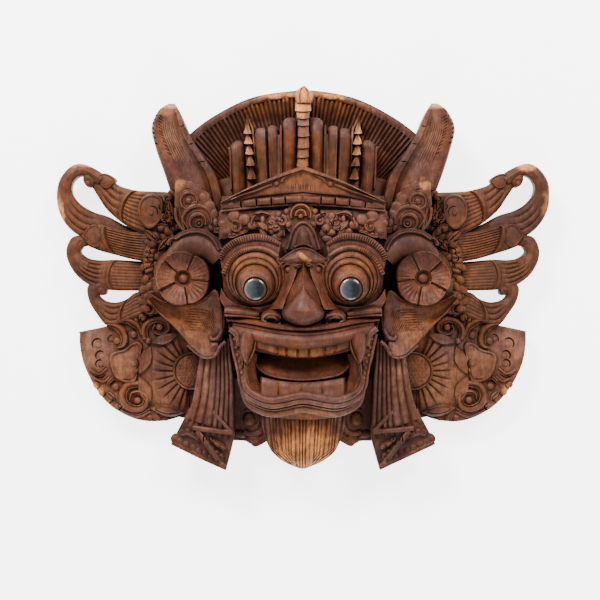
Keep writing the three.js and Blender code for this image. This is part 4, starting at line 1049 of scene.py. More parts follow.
def wing_edge(work):
    """Crescent marks, waves and small lobes along the edge of the wing."""
    top = ORNAMENT_LEVEL
    for x, y, r in ((83.6, -26.4, 2.2), (82.4, -31.2, 1.9), (82.6, -34.6, 1.7)):
        work.nick(x, y, r, -60, 150, top - 0.4, 0.6, 1.5)
        work.bead(x - r * 0.25, y - r * 0.2, r * 0.75, top - 0.6, 0.7, 14, 0.8)
    for path in (
        [(86.4, -36.4), (83.0, -38.4), (79.8, -36.2)], [(84.8, -39.8), (81.4, -41.4), (78.8, -39.6)],
    ):
        work.fern(path, 0.9, top - 0.1, 0.7, 1, 14)
    work.groove([(88.0, -37.2), (83.0, -40.2), (79.6, -38.0)], 0.45, top - 0.4, 1.2)
    for x, y in (
        (81.8, -46.0), (78.8, -48.6), (84.2, -42.9), (59.2, -56.3), (62.6, -56.6), (55.8, -56.3),
        (75.4, -51.6),
    ):
        work.bead(x, y, 1.5, top - 0.8, 0.9, 12)
        work.nick(x, y, 1.7, 160, 330, top - 0.7, 0.35, 0.9)


def sash(work):
    """The pleated sash end that hangs below each ear."""
    inner = [(29.4, -24), (28.2, -38.6), (27.8, -50.6), (27.6, -63)]
    outer = [(40, -24), (42.5, -38.6), (44.4, -48), (47, -56)]
    level = ramp((0, 27), (0.5, 26), (1, 22.6))
    turn = 0.46
    pleat = ramp((0, 0), (turn, INNER_PLEATS), (1, INNER_PLEATS + OUTER_PLEATS))

    def folds(u, v):
        wave = furrowed(pleat(v), 1) ** 0.5
        return 1.05 * wave + 0.35 * np.sin(5 * v + 2) - 1.2 * np.abs(v - 0.45)

    vs = [*steps(INNER_PLEATS * 7, 0, turn), *steps(OUTER_PLEATS * 7, turn, 1)[1:]]
    work.between(steps(12), vs, inner, outer, lambda u, v: level(u) - 0.7 + folds(u, v))


def sash_foot(work):
    """The foot of the sash: its ribs, folded edges, beaded hem and the leaves of the fringe."""
    foot_in = [(27.7, -59), (27.6, -64), (31, -77.2)]
    foot_out = [(46, -52), (48.3, -57), (53.3, -66.6)]
    foot_level = lambda u: lerp(22.9, 19.6, u)

    def foot_face(u, v):
        rib = 0.6 * (1 - furrowed(v, 9)) * (1 - smooth(u, 0.5, 0.62))
        hem = 0.7 * smooth(u, 0.88, 0.92)
        return foot_level(u) + 0.3 * v - rib + hem

    us = [*steps(6, 0, 0.6), 0.75, 0.86, 0.88, 0.9, 0.92, 0.97, 1]
    work.between(us, steps(54), foot_in, foot_out, foot_face, lambda u, v: lerp(8, 12, u))
    # The folded edges: a short slanting one, a level one and the long one to the corner
    for path, wide in (
        ([(28.4, -61.6), (36.8, -52.6)], 0.75), ([(28.6, -61.7), (44.4, -60.0)], 1.0),
        ([(31.4, -75.8), (42.6, -61.2)], 0.95),
    ):
        level = lambda u, v: 24.6 - 1.6 * u + 0.35 * arched(v)
        work.band(steps(4), [0, 0.12, 0.5, 0.88, 1], path, wide, level, 16)
    work.groove([(29.2, -59.2), (33.6, -54.4)], 0.7, 25.0, 1.8, 6)
    work.groove([(30.4, -60.5), (42.8, -59.0)], 0.5, 24.2, 1.2, 6)
    hem = [(32.6, -73.6), (42, -69.2), (52.0, -64.2)]
    for k, u in enumerate(steps(8, 0.02, 0.97)):
        x, y = (float(c) for c in line(hem)(np.array(u)))
        work.bead(x, y, 1.75, 20.2, 1.1, 13, 1.1, 0.4, 12.4)
        work.nick(x, y + 0.4, 1.1, 200, 340, 21.1, 0.28, 0.6)
    for k in range(8):
        x = 31.4 + 1.2 * k
        work.groove([(x, -62.9), (x + 0.3, -65.0 - 0.5 * (k % 2))], 0.28, 22.4, 0.9, 4)
    work.frond([(32.0, -72.0), (34.6, -70.4), (37.0, -68.0), (38.6, -65.0)], 1.7, 22.0, 4, 1, 0.9, 14)
    work.frond([(31.2, -68.0), (33.2, -67.2), (35.6, -65.6), (37.6, -63.8)], 1.5, 22.4, 3, -1, 0.9, 14)
    work.frond([(49.6, -62.0), (46.8, -61.4), (43.6, -62.8), (41.4, -65.4)], 1.8, 21.6, 4, -1, 0.9, 14)
    for k in range(4):
        work.groove([(38.4 + 1.5 * k, -57.6), (38.0 + 1.5 * k, -54.6 - 0.4 * k)], 0.4, 24.0, 1.0, 5)


def bracket(work):
    """The scrolled bracket between sash and beard."""
    upper = [(30, -40), (22, -42), (14, -46)]
    lower = [(28, -65.9), (22.6, -66.2), (19.4, -68.4), (14.6, -66.0), (12, -64.4)]
    work.between(steps(16), steps(4), upper, lower, lambda u, v: 10.4 - v)
    work.bead(21.8, -57.2, 2.6, 11.0, 1.0, 20)
    work.cord(arc(21.8, -57.2, 3.9, 60, 215), 0.7, 10.6, 0.8)
    work.cord(arc(20.6, -58.6, 4.5, 150, 310), 1.1, 11.0, 1.0)
    work.cord(arc(20.2, -59.6, 6.0, 165, 290), 0.5, 10.2, 0.6)
    work.beads(
        (25.2, -63.2, 2.8, 10.2, 1.0, 16, 0.55, math.radians(15)),
        (20.2, -65.0, 3.0, 10.0, 1.0, 16, 0.7, math.radians(-10)),
    )


# The face

FACE_EDGE = [
    (32.4, 33), (33.4, 24), (33.4, 14), (32, 0), (30.4, -15), (29, -22), (27.8, -29), (26, -36),
    (24.6, -43), (22.4, -49), (15, -54.6),
]


def face_block():
    """The block of the face that all the rest is joined to."""
    edge = line(FACE_EDGE)
    level = ramp((0, 33), (0.3, 37), (0.45, 40), (0.6, 38), (0.85, 37), (1, 33))

    def front(u, v):
        half, y = edge(u)
        side = 2 * v - 1
        return side * half, y - 1.4 * smooth(u, 0.85, 1) * (1 - side ** 2), level(u) - 7 * side ** 4

    vs = [0, 0.03, 0.08, 0.15, 0.25, 0.4, 0.5, 0.6, 0.75, 0.85, 0.92, 0.97, 1]
    return sheet(steps(36), vs, front)


def mouth_cavity():
    """The cutter of the open mouth."""
    roof = both_ways([(-22, -26), (-17.5, -29), (0, -31.4)])
    foot = both_ways([(-21.5, -41), (-17, -44.6), (0, -46)])
    return between(steps(20), steps(4), roof, foot, lambda u, v: 70 + 0 * u, 25)


EYE_X, EYE_Y = 18.7, -4.3
IRIS = 4.9


def eye(work):
    """The bulging eyeball in its rings, which crowd together at the lower edge, the lids and the brow."""
    turning = [
        (0, 47.6), (2, 47.6), (4.6, 47.6), (4.75, 48.3), (5.0, 48.6), (5.3, 48.2), (5.45, 47.7),
        (6.1, 47.3), (6.7, 46.4), (7.2, 45.2), (7.5, 44.2), (7.65, 43.8), (7.8, 44.6), (8.1, 44.9),
        (8.6, 44.7), (8.9, 44.0), (9.05, 43.5), (9.2, 44.1), (9.6, 44.3), (10.1, 43.9), (10.4, 43.2),
        (10.5, 42.7), (10.65, 43.3), (11.0, 43.5), (11.6, 43.0), (11.9, 42.0),
    ]
    radii, levels = (np.array(values) for values in zip(*turning))
    outer = radii[-1]

    def front(angle, share):
        r = share * outer
        lift = 0.8 * np.clip(r - IRIS, 0, None)
        drop = 2.4 * np.clip(-np.sin(angle), 0, 1) ** 2 * smooth(r, 5.5, outer)
        x, y = EYE_X + r * np.cos(angle), EYE_Y + lift + r * np.sin(angle)
        return x, y, np.interp(r, radii, levels) - drop

    work.disc(72, radii[1:] / outer, front)
    brow = [(32.4, 7.4), (30.4, 11.2), (26.8, 14.2), (22.6, 15.8), (17.6, 16.4), (13.2, 15.6), (9.0, 13.4)]
    lid = [(31.2, 1.6), (28.9, 6.4), (26.0, 9.4), (22.6, 11.3), (18.4, 12.1), (14.2, 11.2), (10.0, 8.6)]
    rib_vs = [0, 0.06, 0.2, 0.5, 0.8, 0.94, 1]

    def ribbed(path, half, top, ribs, depth, rise):
        height = lambda u, v: top - rise + rise * arched(v) - depth(u) * (1 - furrowed(u, ribs)) * arched(v)
        return band(steps(ribs * 6), rib_vs, path, half, height)

    work.add(ribbed(
        brow, ramp((0, 1.1), (0.2, 1.4), (0.75, 1.4), (1, 0.7)), 44.2, BROW_RIBS,
        lambda u: 0.85 - 0.3 * u, 1.6,
    ))
    work.add(ribbed(lid, 0.95, 44.9, LID_RIBS, lambda u: 0.6 * (1 - smooth(u, 0.4, 0.7)), 1.1))
    work.between(steps(20), steps(6), brow, lid, lambda u, v: 41.4 + 1.0 * arched(v))
    bag = [(10.4, -8.8), (13.0, -10.4), (18.7, -11.4), (24.6, -10.6), (29.4, -8.0), (32, -4)]
    under = [(9.8, -11.6), (13.0, -13.0), (18.7, -13.4), (24.6, -12.8), (30.4, -11.4), (32.6, -8)]
    work.between(steps(20), steps(4), bag, under, lambda u, v: 41.8 - 1.2 * v)


def nose(work):
    """The roof-shaped bridge and the smooth drop-shaped bulb over it."""
    bridge = line([(0.6, 6.2), (2.4, 1.4), (4.7, -2.4), (6.8, -6.8), (8.0, -10.4)])
    roof = ramp((0, 46.4), (0.3, 49), (0.6, 51.4), (1, 53))

    def bridge_face(u, v):
        half, y = bridge(u)
        k = 2 * v - 1
        return k * half, y, roof(u) - lerp(3.0, 8.6, u) * np.abs(k) ** 1.1

    work.sheet(steps(10), [0, 0.1, 0.3, 0.5, 0.7, 0.9, 1], bridge_face)
    for s in (-1, 1):
        crest_side = sided(s, [(2.2, 5.4), (3.4, 0), (6.0, -6), (8.2, -12)])
        eye_side = sided(s, [(7.6, 6.4), (8.2, 0), (9.4, -6), (13.6, -12)])
        work.between(
            steps(10), steps(4), crest_side, eye_side, lambda u, v: 45.6 - 3.4 * smooth(v, 0, 1) + u,
        )
    drop = line([
        (0.15, -3.0), (2.2, -5.9), (5.3, -9.1), (7.7, -11.8), (8.3, -13.6), (7.4, -15.9), (4.9, -17.5),
    ])
    ridge = ramp(
        (0, 52.6), (0.12, 54.2), (0.35, 56.4), (0.5, 57.3), (0.62, 57.6), (0.8, 56.4), (0.93, 53.4),
        (1, 50.4),
    )

    def bulb_face(u, v):
        half, y = drop(u)
        k = 2 * v - 1
        roundness = 1 - np.sqrt(np.clip(1 - 0.985 * np.abs(k) ** 1.8, 0, 1))
        fall = lerp(3.6, 10.8, smooth(u, 0, 0.6)) * roundness
        return k * half, y - 1.0 * (1 - k * k) * smooth(u, 0.6, 1), ridge(u) - fall

    vs = 0.5 + 0.5 * np.array([
        -1, -0.97, -0.9, -0.8, -0.66, -0.5, -0.33, -0.16, 0, 0.16, 0.33, 0.5, 0.66, 0.8, 0.9, 0.97, 1,
    ])
    work.sheet(steps(26), vs, bulb_face)


def nostrils(work):
    """The flesh of the nostrils, the rolls around them and the two holes."""
    for s in (-1, 1):
        flesh = sided(s, [
            (8.6, -14.0), (10.4, -12.6), (13.4, -12.0), (16.0, -13.4), (16.4, -16.0), (13.2, -17.6),
            (9.0, -17.2),
        ])
        work.pad(flesh, 43.2, 2.2)
        wing_path = sided(s, [
            (8.6, -15.4), (10.2, -14.4), (13.0, -13.9), (15.3, -14.8), (15.8, -16.4), (14.4, -17.0),
        ])
        work.cord(wing_path, ramp((0, 0.5), (0.5, 0.85), (1, 0.5)), 45.6, 1.0, 20)
        work.cord(sided(s, [(8.8, -17.6), (12.2, -18.2), (15.6, -17.4)]), 0.6, 43.6, 0.9, 10)
        hole = lambda angle, share, s=s: (
            s * 12.6 + 1.9 * share * np.cos(angle), -16.3 + 0.85 * share * np.sin(angle), 39 + 3 * share,
        )
        work.cut(disc(18, [0.5, 1], hole, 60))


def third_eye(work):
    """A faceted stone on a smooth saddle, volutes beside the bridge and a round hood above."""
    saddle = [
        (-9.0, 7.0), (-5.4, 9.8), (0, 11.6), (5.4, 9.8), (9.0, 7.0), (6.6, 5.4), (0, 4.0), (-6.6, 5.4),
    ]
    work.pad(saddle, 43.6, 2.4)
    stone = [(-2.8, 7.9), (0, 9.5), (2.8, 7.9), (0, 6.3)]
    edge = line(stone + stone[:1])

    def facets(angle, share):
        x, y = edge(np.mod(angle / (2 * np.pi), 1))
        return lerp(0, x, share), lerp(7.9, y, share), 47.4 - 1.6 * share

    work.disc(24, [0.5, 1], facets)
    work.cord(both_ways([(-9.2, 7.2), (-5.6, 9.6), (-3.0, 11.2), (0, 11.9)]), 0.45, 44.2, 0.8, 26)
    work.cord(both_ways([(-3.4, 12.4), (0, 13.7)]), 0.45, 43.6, 0.7)
    for s in (-1, 1):
        for radius, top in ((3.7, 43.8), (2.3, 44.2)):
            turn = arc(s * 5.9, 3.2, radius, 90 - s * 70, 90 + s * 130, 12)
            work.cord(turn, ramp((0, 0.35), (0.5, 0.55), (1, 0.3)), top, 0.7, 16)
        work.bead(s * 5.9, 3.2, 1.2, 43.8, 1.0)
        work.leaflet((s * 0.5, 5.2), (s * 3.9, 4.4), 0.9, 46.2, 0.3)
    crown = [
        (-5.8, 11.6), (-4.8, 15.6), (-3.9, 18.6), (-2.2, 20.8), (0, 21.8), (2.2, 20.8), (3.9, 18.6),
        (4.8, 15.6), (5.8, 11.6), (0, 10.6),
    ]
    work.pad(crown, 40.2, 1.0)
    inner = [
        (-3.3, 12.0), (-2.7, 15.6), (-1.8, 18.6), (0, 20.3), (1.8, 18.6), (2.7, 15.6), (3.3, 12.0),
        (0, 11.4),
    ]
    work.pad(inner, 41.2, 2.6)
    rim = both_ways([(-6.3, 11.6), (-5.2, 15.4), (-4.2, 18.4), (-2.5, 20.8), (0, 22.0)])
    work.cord(rim, 0.6, 41.7, 1.1, 36)


def muzzle(x, front, back):
    """How far the muzzle comes forward at a distance from the middle."""
    return front - (front - back) * np.minimum(1, np.abs(x) / 29) ** 2.2


def upper_lip(work):
    """The sagging upper lip with folds along it, and a roll on each cheek."""
    high = both_ways([(-30.4, -15.4), (-19.7, -16.0), (-10, -17.6), (0, -18.4)])
    low = both_ways([(-28.8, -21), (-22, -24.2), (-11, -26.6), (0, -27.9)])
    folds = ramp(
        (0, -1.6), (0.04, -0.3), (0.12, 0.3), (0.22, 0.1), (0.285, -1.2), (0.32, -0.1), (0.36, 0.7),
        (0.42, 0.5), (0.45, 0.1), (0.58, 0.9), (0.76, 1.1), (0.9, 0.4), (1, -1.2),
    )
    vs = [
        0, 0.04, 0.08, 0.12, 0.17, 0.22, 0.26, 0.285, 0.31, 0.34, 0.36, 0.39, 0.42, 0.45, 0.51, 0.58,
        0.67, 0.76, 0.84, 0.9, 0.96, 1,
    ]
    height = lambda u, v: muzzle((u - 0.5) * 58, 48, 37) + folds(v)
    work.between(steps(44), vs, high, low, height)
    for s in (-1, 1):
        cheek = sided(s, [(30.8, -12.6), (24.4, -13.0), (17.4, -14.2)])
        work.band(
            steps(12), steps(10), cheek, ramp((0, 1.7), (0.3, 2.1), (0.9, 1.9), (1, 1.5)),
            lambda u, v: 38 + 4.6 * arched(v) + 1.2 * np.sin(np.pi * u),
        )
        work.cord(sided(s, [(30.8, -14.4), (24, -14.7), (17.2, -15.7)]), 0.5, 43.0, 1.2)
        pit = lambda angle, share, s=s: (
            s * 28.9 + 1.3 * share * np.cos(angle), -18.0 + 1.3 * share * np.sin(angle), 31 + 2 * share,
        )
        work.cut(disc(14, [0.5, 1], pit, 60))


def teeth(work, edges, edge_a, edge_b, front, back, root, set_back=()):
    """A row of teeth between two edges, each with its own rounded face."""
    half = abs(edge_a[0][0])
    for k, (first, last) in enumerate(zip(edges[:-1], edges[1:])):
        u0, u1 = (first + 0.08 + half) / (2 * half), (last - 0.08 + half) / (2 * half)
        sunk = 0.7 if k in set_back else 0.0

        def height(u, v):
            own = (u - u0) / (u1 - u0)
            level = muzzle((2 * u - 1) * half, front, back) - sunk - 0.9 * (1 - arched(own)) ** 2
            return level - 0.8 * v - 0.8 * (1 - arched(v)) ** 3

        work.between(steps(8, u0, u1), [0, 0.1, 0.35, 0.65, 0.88, 1], edge_a, edge_b, height, root)


def jaws(work):
    """The two rows of teeth, and the backing that closes the gaps between them."""
    teeth(
        work, (-18.4, -10.4, -6.8, -2.4, 2.4, 8.6, 12.4, 18.4),
        both_ways([(-18.6, -23.6), (-9, -25.8), (0, -26.8)]),
        both_ways([(-18.4, -27.6), (-9, -30.5), (0, -31.4)]), 46.4, 41, 24, (1, 3, 5),
    )
    teeth(
        work, (-16.8, -8.9, -0.6, 7.2, 16.8),
        both_ways([(-17, -46.4), (-9, -48), (0, -47.6)]),
        both_ways([(-16.6, -38.9), (-9, -40.4), (0, -41.1)]), 42.5, 38, 22,
    )
    for roof, foot, top in (
        (both_ways([(-19, -23.6), (0, -26.8)]), both_ways([(-18.6, -27.0), (0, -30.9)]), 44.6),
        (both_ways([(-17, -47), (0, -49)]), both_ways([(-16.4, -39.2), (0, -41.4)]), 41.0),
    ):
        work.between(
            steps(10), steps(2), roof, foot, lambda u, v: muzzle((2 * u - 1) * 18, top, top - 5), 22,
        )


def tongue(work):
    """The tongue, with a raised edge and a crease along its middle."""
    edge = line(both_ways([(-19.4, -33.2), (-17.6, -36.2), (-13.4, -38.8), (-6, -40.3), (0, -40.7)]))
    level = ramp((0, 30), (0.5, 34.4), (0.8, 37.6), (0.88, 38.8), (0.93, 40.6), (0.97, 40.4), (1, 38.8))

    def face(u, v):
        x, y = edge(u)
        across = 2 * u - 1
        crease = 0.6 * (1 - v) * np.exp(-(across / 0.1) ** 2)
        return lerp(0.55 * x, x, v), lerp(-27, y, v), level(v) - 5 * across ** 4 - crease

    work.sheet(steps(30), [0, 0.25, 0.5, 0.65, 0.8, 0.88, 0.93, 0.97, 1], face, 20)


def fangs(work):
    """The fang at each corner of the mouth, its inner edge, and the gum beside the tongue."""
    for s in (-1, 1):
        fang = sided(s, [(21.4, -21.6), (21.9, -25.6), (22.4, -29.4), (22.2, -33.4)])
        width = ramp((0, 3.0), (0.3, 3.2), (0.6, 2.7), (0.8, 1.9), (0.93, 1.1), (1, 0.4))
        work.band(steps(18), steps(10), fang, width, lambda u, v: 42.0 + 4.6 * arched(v) - 2.4 * u * u, 22)
        work.cord(
            sided(s, [(18.4, -23.4), (18.9, -27.2), (20.4, -31.0), (22.0, -33.6)]),
            ramp((0, 0.5), (0.6, 0.6), (1, 0.3)), 44.6, 1.4, 14,
        )
        gum_out = sided(s, [(21.8, -30), (22.4, -37), (20.6, -43), (17.0, -45.4)])
        gum_in = sided(s, [(17.8, -30), (18.4, -35), (17.6, -40.4), (15.2, -43.0)])
        work.between(steps(12), steps(5), gum_out, gum_in, lambda u, v: lerp(42, 36.6, v ** 0.7), 22)


def lower_lip(work):
    """The lower lip, which runs up beside each corner of the mouth, and the folds of the chin."""
    path = both_ways([
        (-22.8, -30), (-22.8, -35), (-22.6, -40.0), (-21.2, -43.8), (-17.6, -46.4), (-12.8, -47.7),
        (-7.9, -47.2), (0, -46.0),
    ])
    level = lambda u: 44 - 6 * np.abs(2 * u - 1) ** 1.6
    vs = steps(8)
    work.band(
        steps(64), vs, path, ramp((0, 1.6), (0.12, 2.3), (0.3, 1.7), (0.7, 1.7), (0.88, 2.3), (1, 1.6)),
        lambda u, v: level(u) - 2.4 + 2.4 * arched(v),
    )
    chin = both_ways([
        (-24.4, -40.2), (-22.6, -45.8), (-18.0, -48.6), (-12.6, -50.0), (-6.6, -49.3), (0, -48.2),
    ])
    for drop, half, top, narrow in ((0.0, 1.15, 42.2, 1.0), (1.7, 0.6, 40.2, 0.99), (3.3, 1.5, 39.2, 0.97)):
        fold = [(x * narrow, y - drop) for x, y in chin]
        work.band(
            steps(44), ROUND, fold, half,
            lambda u, v, t=top: t - 4.4 * (2 * u - 1) ** 2 - 0.6 + 1.2 * arched(v),
        )
    for s in (-1, 1):
        rim = sided(s, [(28.6, -22.0), (27.2, -30), (25.6, -36.6), (24.8, -41.8), (22.8, -46.6)])
        lip_side = sided(s, [(22.8, -21), (23.4, -30), (23.6, -37), (22.4, -42.6), (19.4, -46)])
        work.between(
            steps(14), [0, 0.1, 0.3, 0.5, 0.7, 1], lip_side, rim,
            lambda u, v: 39.4 - 1.4 * v + 0.8 * arched(v),
        )
        work.cord(rim, 0.7, 39.4, 1.0, 20)
        for u in steps(7, 0.08, 0.72):
            x, y = (float(c) for c in line(rim)(np.array(u)))
            work.bead(x - s * 1.4, y + 0.2, 0.9, 39.6, 1.0, 10)
        work.cord(sided(s, [(28.6, -19.6), (25.8, -22.4), (25.0, -26.6)]), 1.4, 41.8, 1.8, 14)


def beard(work):
    """Straight locks to a blunt point."""
    edge = line([
        (18.2, -50), (17.0, -56.2), (15.8, -61.3), (14.4, -65.9), (12.2, -70), (7.6, -73.8), (1.6, -76.6),
    ])
    level = ramp((0, 33), (0.4, 31), (0.8, 26), (1, 20))

    def front(u, v):
        half, y = edge(u)
        across = 2 * v - 1
        x = across * half
        lock = x * (1 + 0.2 * u) / LOCK_WIDTH + 0.22 * np.sin(1.1 * x)
        uneven = 0.25 * np.sin(1.9 * x + 4 * u) - 0.2
        return x, y, level(u) - 3.4 * across ** 2 + uneven - 1.05 * (1 - furrowed(lock, 1) ** 0.7)

    work.sheet(steps(16), steps(138), front)


ARCH_X = -0.8


def forehead(work):
    """Between gable and brows: nested arches in the middle, lobed leaves and scrolls beside them."""
    work.pad(arc(ARCH_X, 23.4, 6.6, 0, 330, 12), 38.2, 0.4)
    work.fern(arc(ARCH_X, 24.9, 3.8, -18, 198, 16), ramp((0, 0.7), (0.5, 1.1), (1, 0.7)), 39.5, 0.8, -1, 26)
    work.fern(arc(ARCH_X, 24.7, 1.9, -5, 185, 14), 0.8, 40.0, 0.6, -1, 20)
    work.bead(ARCH_X, 24.4, 1.0, 40.0, 0.7)
    for s in (-1, 1):
        beside_arches(work, s)
        hooked_leaf(work, s)
        temple(work, s)


def beside_arches(work, s):
    """The ground of one side, with small lobes, a scroll and buds beside the arches."""
    work.between(
        steps(8), steps(3), sided(s, [(7, 27), (33.4, 26.6)]),
        sided(s, [(7, 17), (20, 19.4), (33.2, 15.4)]), lambda u, v: 37.0 - 2.2 * u * u,
    )
    middle = sided(s, [(6.6, 26.6), (19, 26.8), (21, 24.6), (17.6, 17.8), (9.4, 15.6), (7.6, 19)])
    work.foliage(middle, 3.3, 37.4, 20 + s)
    work.scroll(s * 7.6 + ARCH_X, 22.8, 2.0, 90, s * 0.9, 39.2, 0.36)
    work.beads(
        (s * 4.9 + ARCH_X, 21.4, 1.3, 38.9, 1.0), (s * 5.7 + ARCH_X, 26.4, 1.2, 38.7, 1.0),
        (s * 9.6 + ARCH_X, 19.8, 1.7, 38.5, 1.0), (s * 8.8 + ARCH_X, 25.6, 1.1, 38.4, 0.9),
    )


def hooked_leaf(work, s):
    """The hooked leaf and the scroll between the arches and the temple."""
    hook = sided(s, [(20.4, 21.2), (19.2, 24.6), (16.4, 25.9), (13.2, 25.2)])
    work.fern(hook, ramp((0, 0.6), (0.6, 1.2), (1, 0.5)), 38.4, 0.9, -s, 22)
    work.bead(s * 15.9, 23.4, 0.9, 38.4, 1.0, 14, 1.7)
    work.lens((s * 13.2, 18.6), (s * 18.0, 22.8), 1.3, 38.2, 0.8, 0.3)
    work.scroll(s * 12.6, 21.8, 1.8, 200, -s * 0.9, 38.5, 0.36)


def temple(work, s):
    """Lobes in a slanting row over a scroll and a frond."""
    body = sided(s, [
        (32.4, 26.2), (27, 27), (22.6, 24.6), (18.4, 20.0), (24.4, 18.6), (31.4, 15.8), (32.8, 20),
    ])
    work.pad(body, 36.3, 0.9)
    for x, y, radius, level in (
        (31.2, 25.8, 2.1, 36.4), (27.4, 25.0, 2.6, 37.5), (23.2, 23.2, 2.5, 37.9),
        (19.9, 21.0, 2.0, 38.1), (31.6, 21.8, 2.0, 36.1), (30.4, 18.4, 1.8, 36.4),
    ):
        work.bead(s * x, y, radius, level, 1.1, 20, 0.92, -s * 0.6)
    work.scroll(s * 26.6, 20.4, 2.6, 90 - s * 30, s * 0.85, 37.6, 0.34)
    work.frond(sided(s, [(29.6, 17.0), (27.4, 17.2), (24.6, 18.2), (21.8, 18.8)]), 1.2, 37.2, 4, -s, 0.8)


# The back and the seats of the eyes, in metres

def turned(profile, count, x, y, stretch=(1.0, 1.0)):
    """A solid turned about an upright axis, from (radius, height) pairs that start and end on the axis."""
    angles = np.arange(count) * 2 * np.pi / count
    rings = np.array([
        [(r * math.cos(a) * stretch[0] + x, r * math.sin(a) * stretch[1] + y, z) for a in angles] for r,
        z in profile[1:-1]
    ])
    ends = np.array([[x, y, profile[0][1]], [x, y, profile[-1][1]]])
    points = np.concatenate([ends, rings.reshape(-1, 3)])
    ids = 2 + np.arange(len(rings) * count).reshape(len(rings), count)
    after = np.roll(ids, -1, axis=1)
    parts = [quads(ids[k], ids[k + 1], after[k + 1], after[k]) for k in range(len(rings) - 1)]
    parts.append(np.stack([np.zeros(count, int), ids[0], after[0]], 1))
    parts.append(np.stack([np.ones(count, int), after[-1], ids[-1]], 1))
    return facing_out(points, np.concatenate(parts))


# The hollow behind the face, the flat ring around it, and how far the edge of the mask rises off the floor
HOLLOW_WIDTH, HOLLOW_HEIGHT, HOLLOW_DEPTH, HOLLOW_Y = 0.112, 0.150, 0.034, -0.022
FLAT_BACK_RADIUS, EDGE_RISE = 0.1, 0.012
# How far a cutter runs out past the wood, and the gap around an eye inlay
CUT_BEYOND = 0.03
EYE_CLEARANCE = 0.0003


def sawn_off():
    """The cutter that leaves the back flat around the hollow and lifts it towards the edge."""
    width = MASK_HIGH.x - MASK_LOW.x
    reach = width * 0.75
    slope = EDGE_RISE / (width / 2 - FLAT_BACK_RADIUS)
    profile = [
        (0, -CUT_BEYOND), (reach, -CUT_BEYOND), (reach, slope * (reach - FLAT_BACK_RADIUS)),
        (FLAT_BACK_RADIUS, 0), (0, 0),
    ]
    return turned(profile, 64, 0, HOLLOW_Y)


def hollow():
    """The cutter of the oval hollow behind the face."""
    angles = steps(12, 0, math.pi / 2)
    bowl = [(0.5 * math.cos(a) ** 0.7, HOLLOW_DEPTH * math.sin(a)) for a in angles[:-1]]
    profile = [(0, -CUT_BEYOND), (0.5, -CUT_BEYOND), *bowl, (0, HOLLOW_DEPTH)]
    return turned(profile, 64, 0, HOLLOW_Y, (HOLLOW_WIDTH, HOLLOW_HEIGHT))


def eye_seat(node):
    """The cutter of the seat of one eye inlay."""
    low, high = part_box(node)
    radius = (high[1] - low[1]) / 2 + EYE_CLEARANCE
    floor = low[2] - EYE_CLEARANCE
    x, y = (low[0] + high[0]) / 2, (low[1] + high[1]) / 2
    return turned(
        [(0, floor), (radius, floor), (radius, high[2] + CUT_BEYOND), (0, high[2] + CUT_BEYOND)], 72, x,
        y,
    )


# From solids to one mesh

def mesh_object(name, points, triangles, collection=None):
    """A Blender object made of points and triangles."""
    mesh = bpy.data.meshes.new(name)
    mesh.vertices.add(len(points))
    mesh.vertices.foreach_set("co", np.asarray(points, np.float32).ravel())
    mesh.loops.add(len(triangles) * 3)
    mesh.loops.foreach_set("vertex_index", np.asarray(triangles, np.int32).ravel())
    mesh.polygons.add(len(triangles))
    mesh.polygons.foreach_set("loop_start", np.arange(len(triangles), dtype=np.int32) * 3)
    mesh.update(calc_edges=True)
    obj = bpy.data.objects.new(name, mesh)
    (collection or bpy.context.scene.collection).objects.link(obj)
    return obj


def in_metres(solid):
    """A solid moved from the carving grid to metres."""
    points, triangles = solid
    return points * STEP, triangles


def combined(obj, solids, operation):
    """Joins solids to an object's mesh, or cuts them out of it."""
    collection = bpy.data.collections.new(operation.lower())
    bpy.context.scene.collection.children.link(collection)
    helpers = [mesh_object(f"helper_{k}", *solid, collection) for k, solid in enumerate(solids)]
    modifier = obj.modifiers.new(operation.lower(), "BOOLEAN")
    modifier.operation = operation
    modifier.solver = "MANIFOLD"
    modifier.operand_type = "COLLECTION"
    modifier.collection = collection
    graph = bpy.context.evaluated_depsgraph_get()
    result = bpy.data.meshes.new_from_object(obj.evaluated_get(graph))
    obj.modifiers.clear()
    obj.data = result
    for helper in helpers:
        data = helper.data
        bpy.data.objects.remove(helper)
        bpy.data.meshes.remove(data)
    bpy.data.collections.remove(collection)


def carved_mask():
    """The whole carving: all the wood joined, then the grooves, the back and the seats cut out."""
    half, whole = Carving(), Carving()
    for part in (
        crown_folds, tall_leaf, tall_leaf_cuts, brim_leaf, side_block, plumes, knuckles, plume_roots,
        ear_crescent, ear_flower, ear, wing, wing_sun, wing_shield, wing_scrolls, wing_edge, sash,
        sash_foot, bracket, eye,
    ):
        part(half)
    whole.both_sides(half)
    for part in (
        back_fan, crests, gable, eaves, forehead, nose, nostrils, third_eye, upper_lip, jaws, tongue, fangs,
        lower_lip, beard,
    ):
        part(whole)
    mask = mesh_object("mask_carving", *in_metres(face_block()))
    combined(mask, [in_metres(mouth_cavity())], "DIFFERENCE")
    combined(mask, [in_metres(solid) for solid in whole.wood], "UNION")
    cuts = [in_metres(solid) for solid in whole.grooves]
    cuts += [sawn_off(), hollow(), eye_seat("eye_inlay_left"), eye_seat("eye_inlay_right")]
    combined(mask, cuts, "DIFFERENCE")
    thinned(mask, TRIANGLES)
    return mask


def thinned(obj, most):
    """Collapses the flattest faces until the mesh holds no more than a number of triangles."""
    count = sum(len(face.vertices) - 2 for face in obj.data.polygons)
    if count <= most:
        return
    modifier = obj.modifiers.new("thin", "DECIMATE")
    modifier.decimate_type = "COLLAPSE"
    modifier.ratio = most / count
    modifier.use_collapse_triangulate = True
    graph = bpy.context.evaluated_depsgraph_get()
    obj.data = bpy.data.meshes.new_from_object(obj.evaluated_get(graph))
    obj.modifiers.clear()


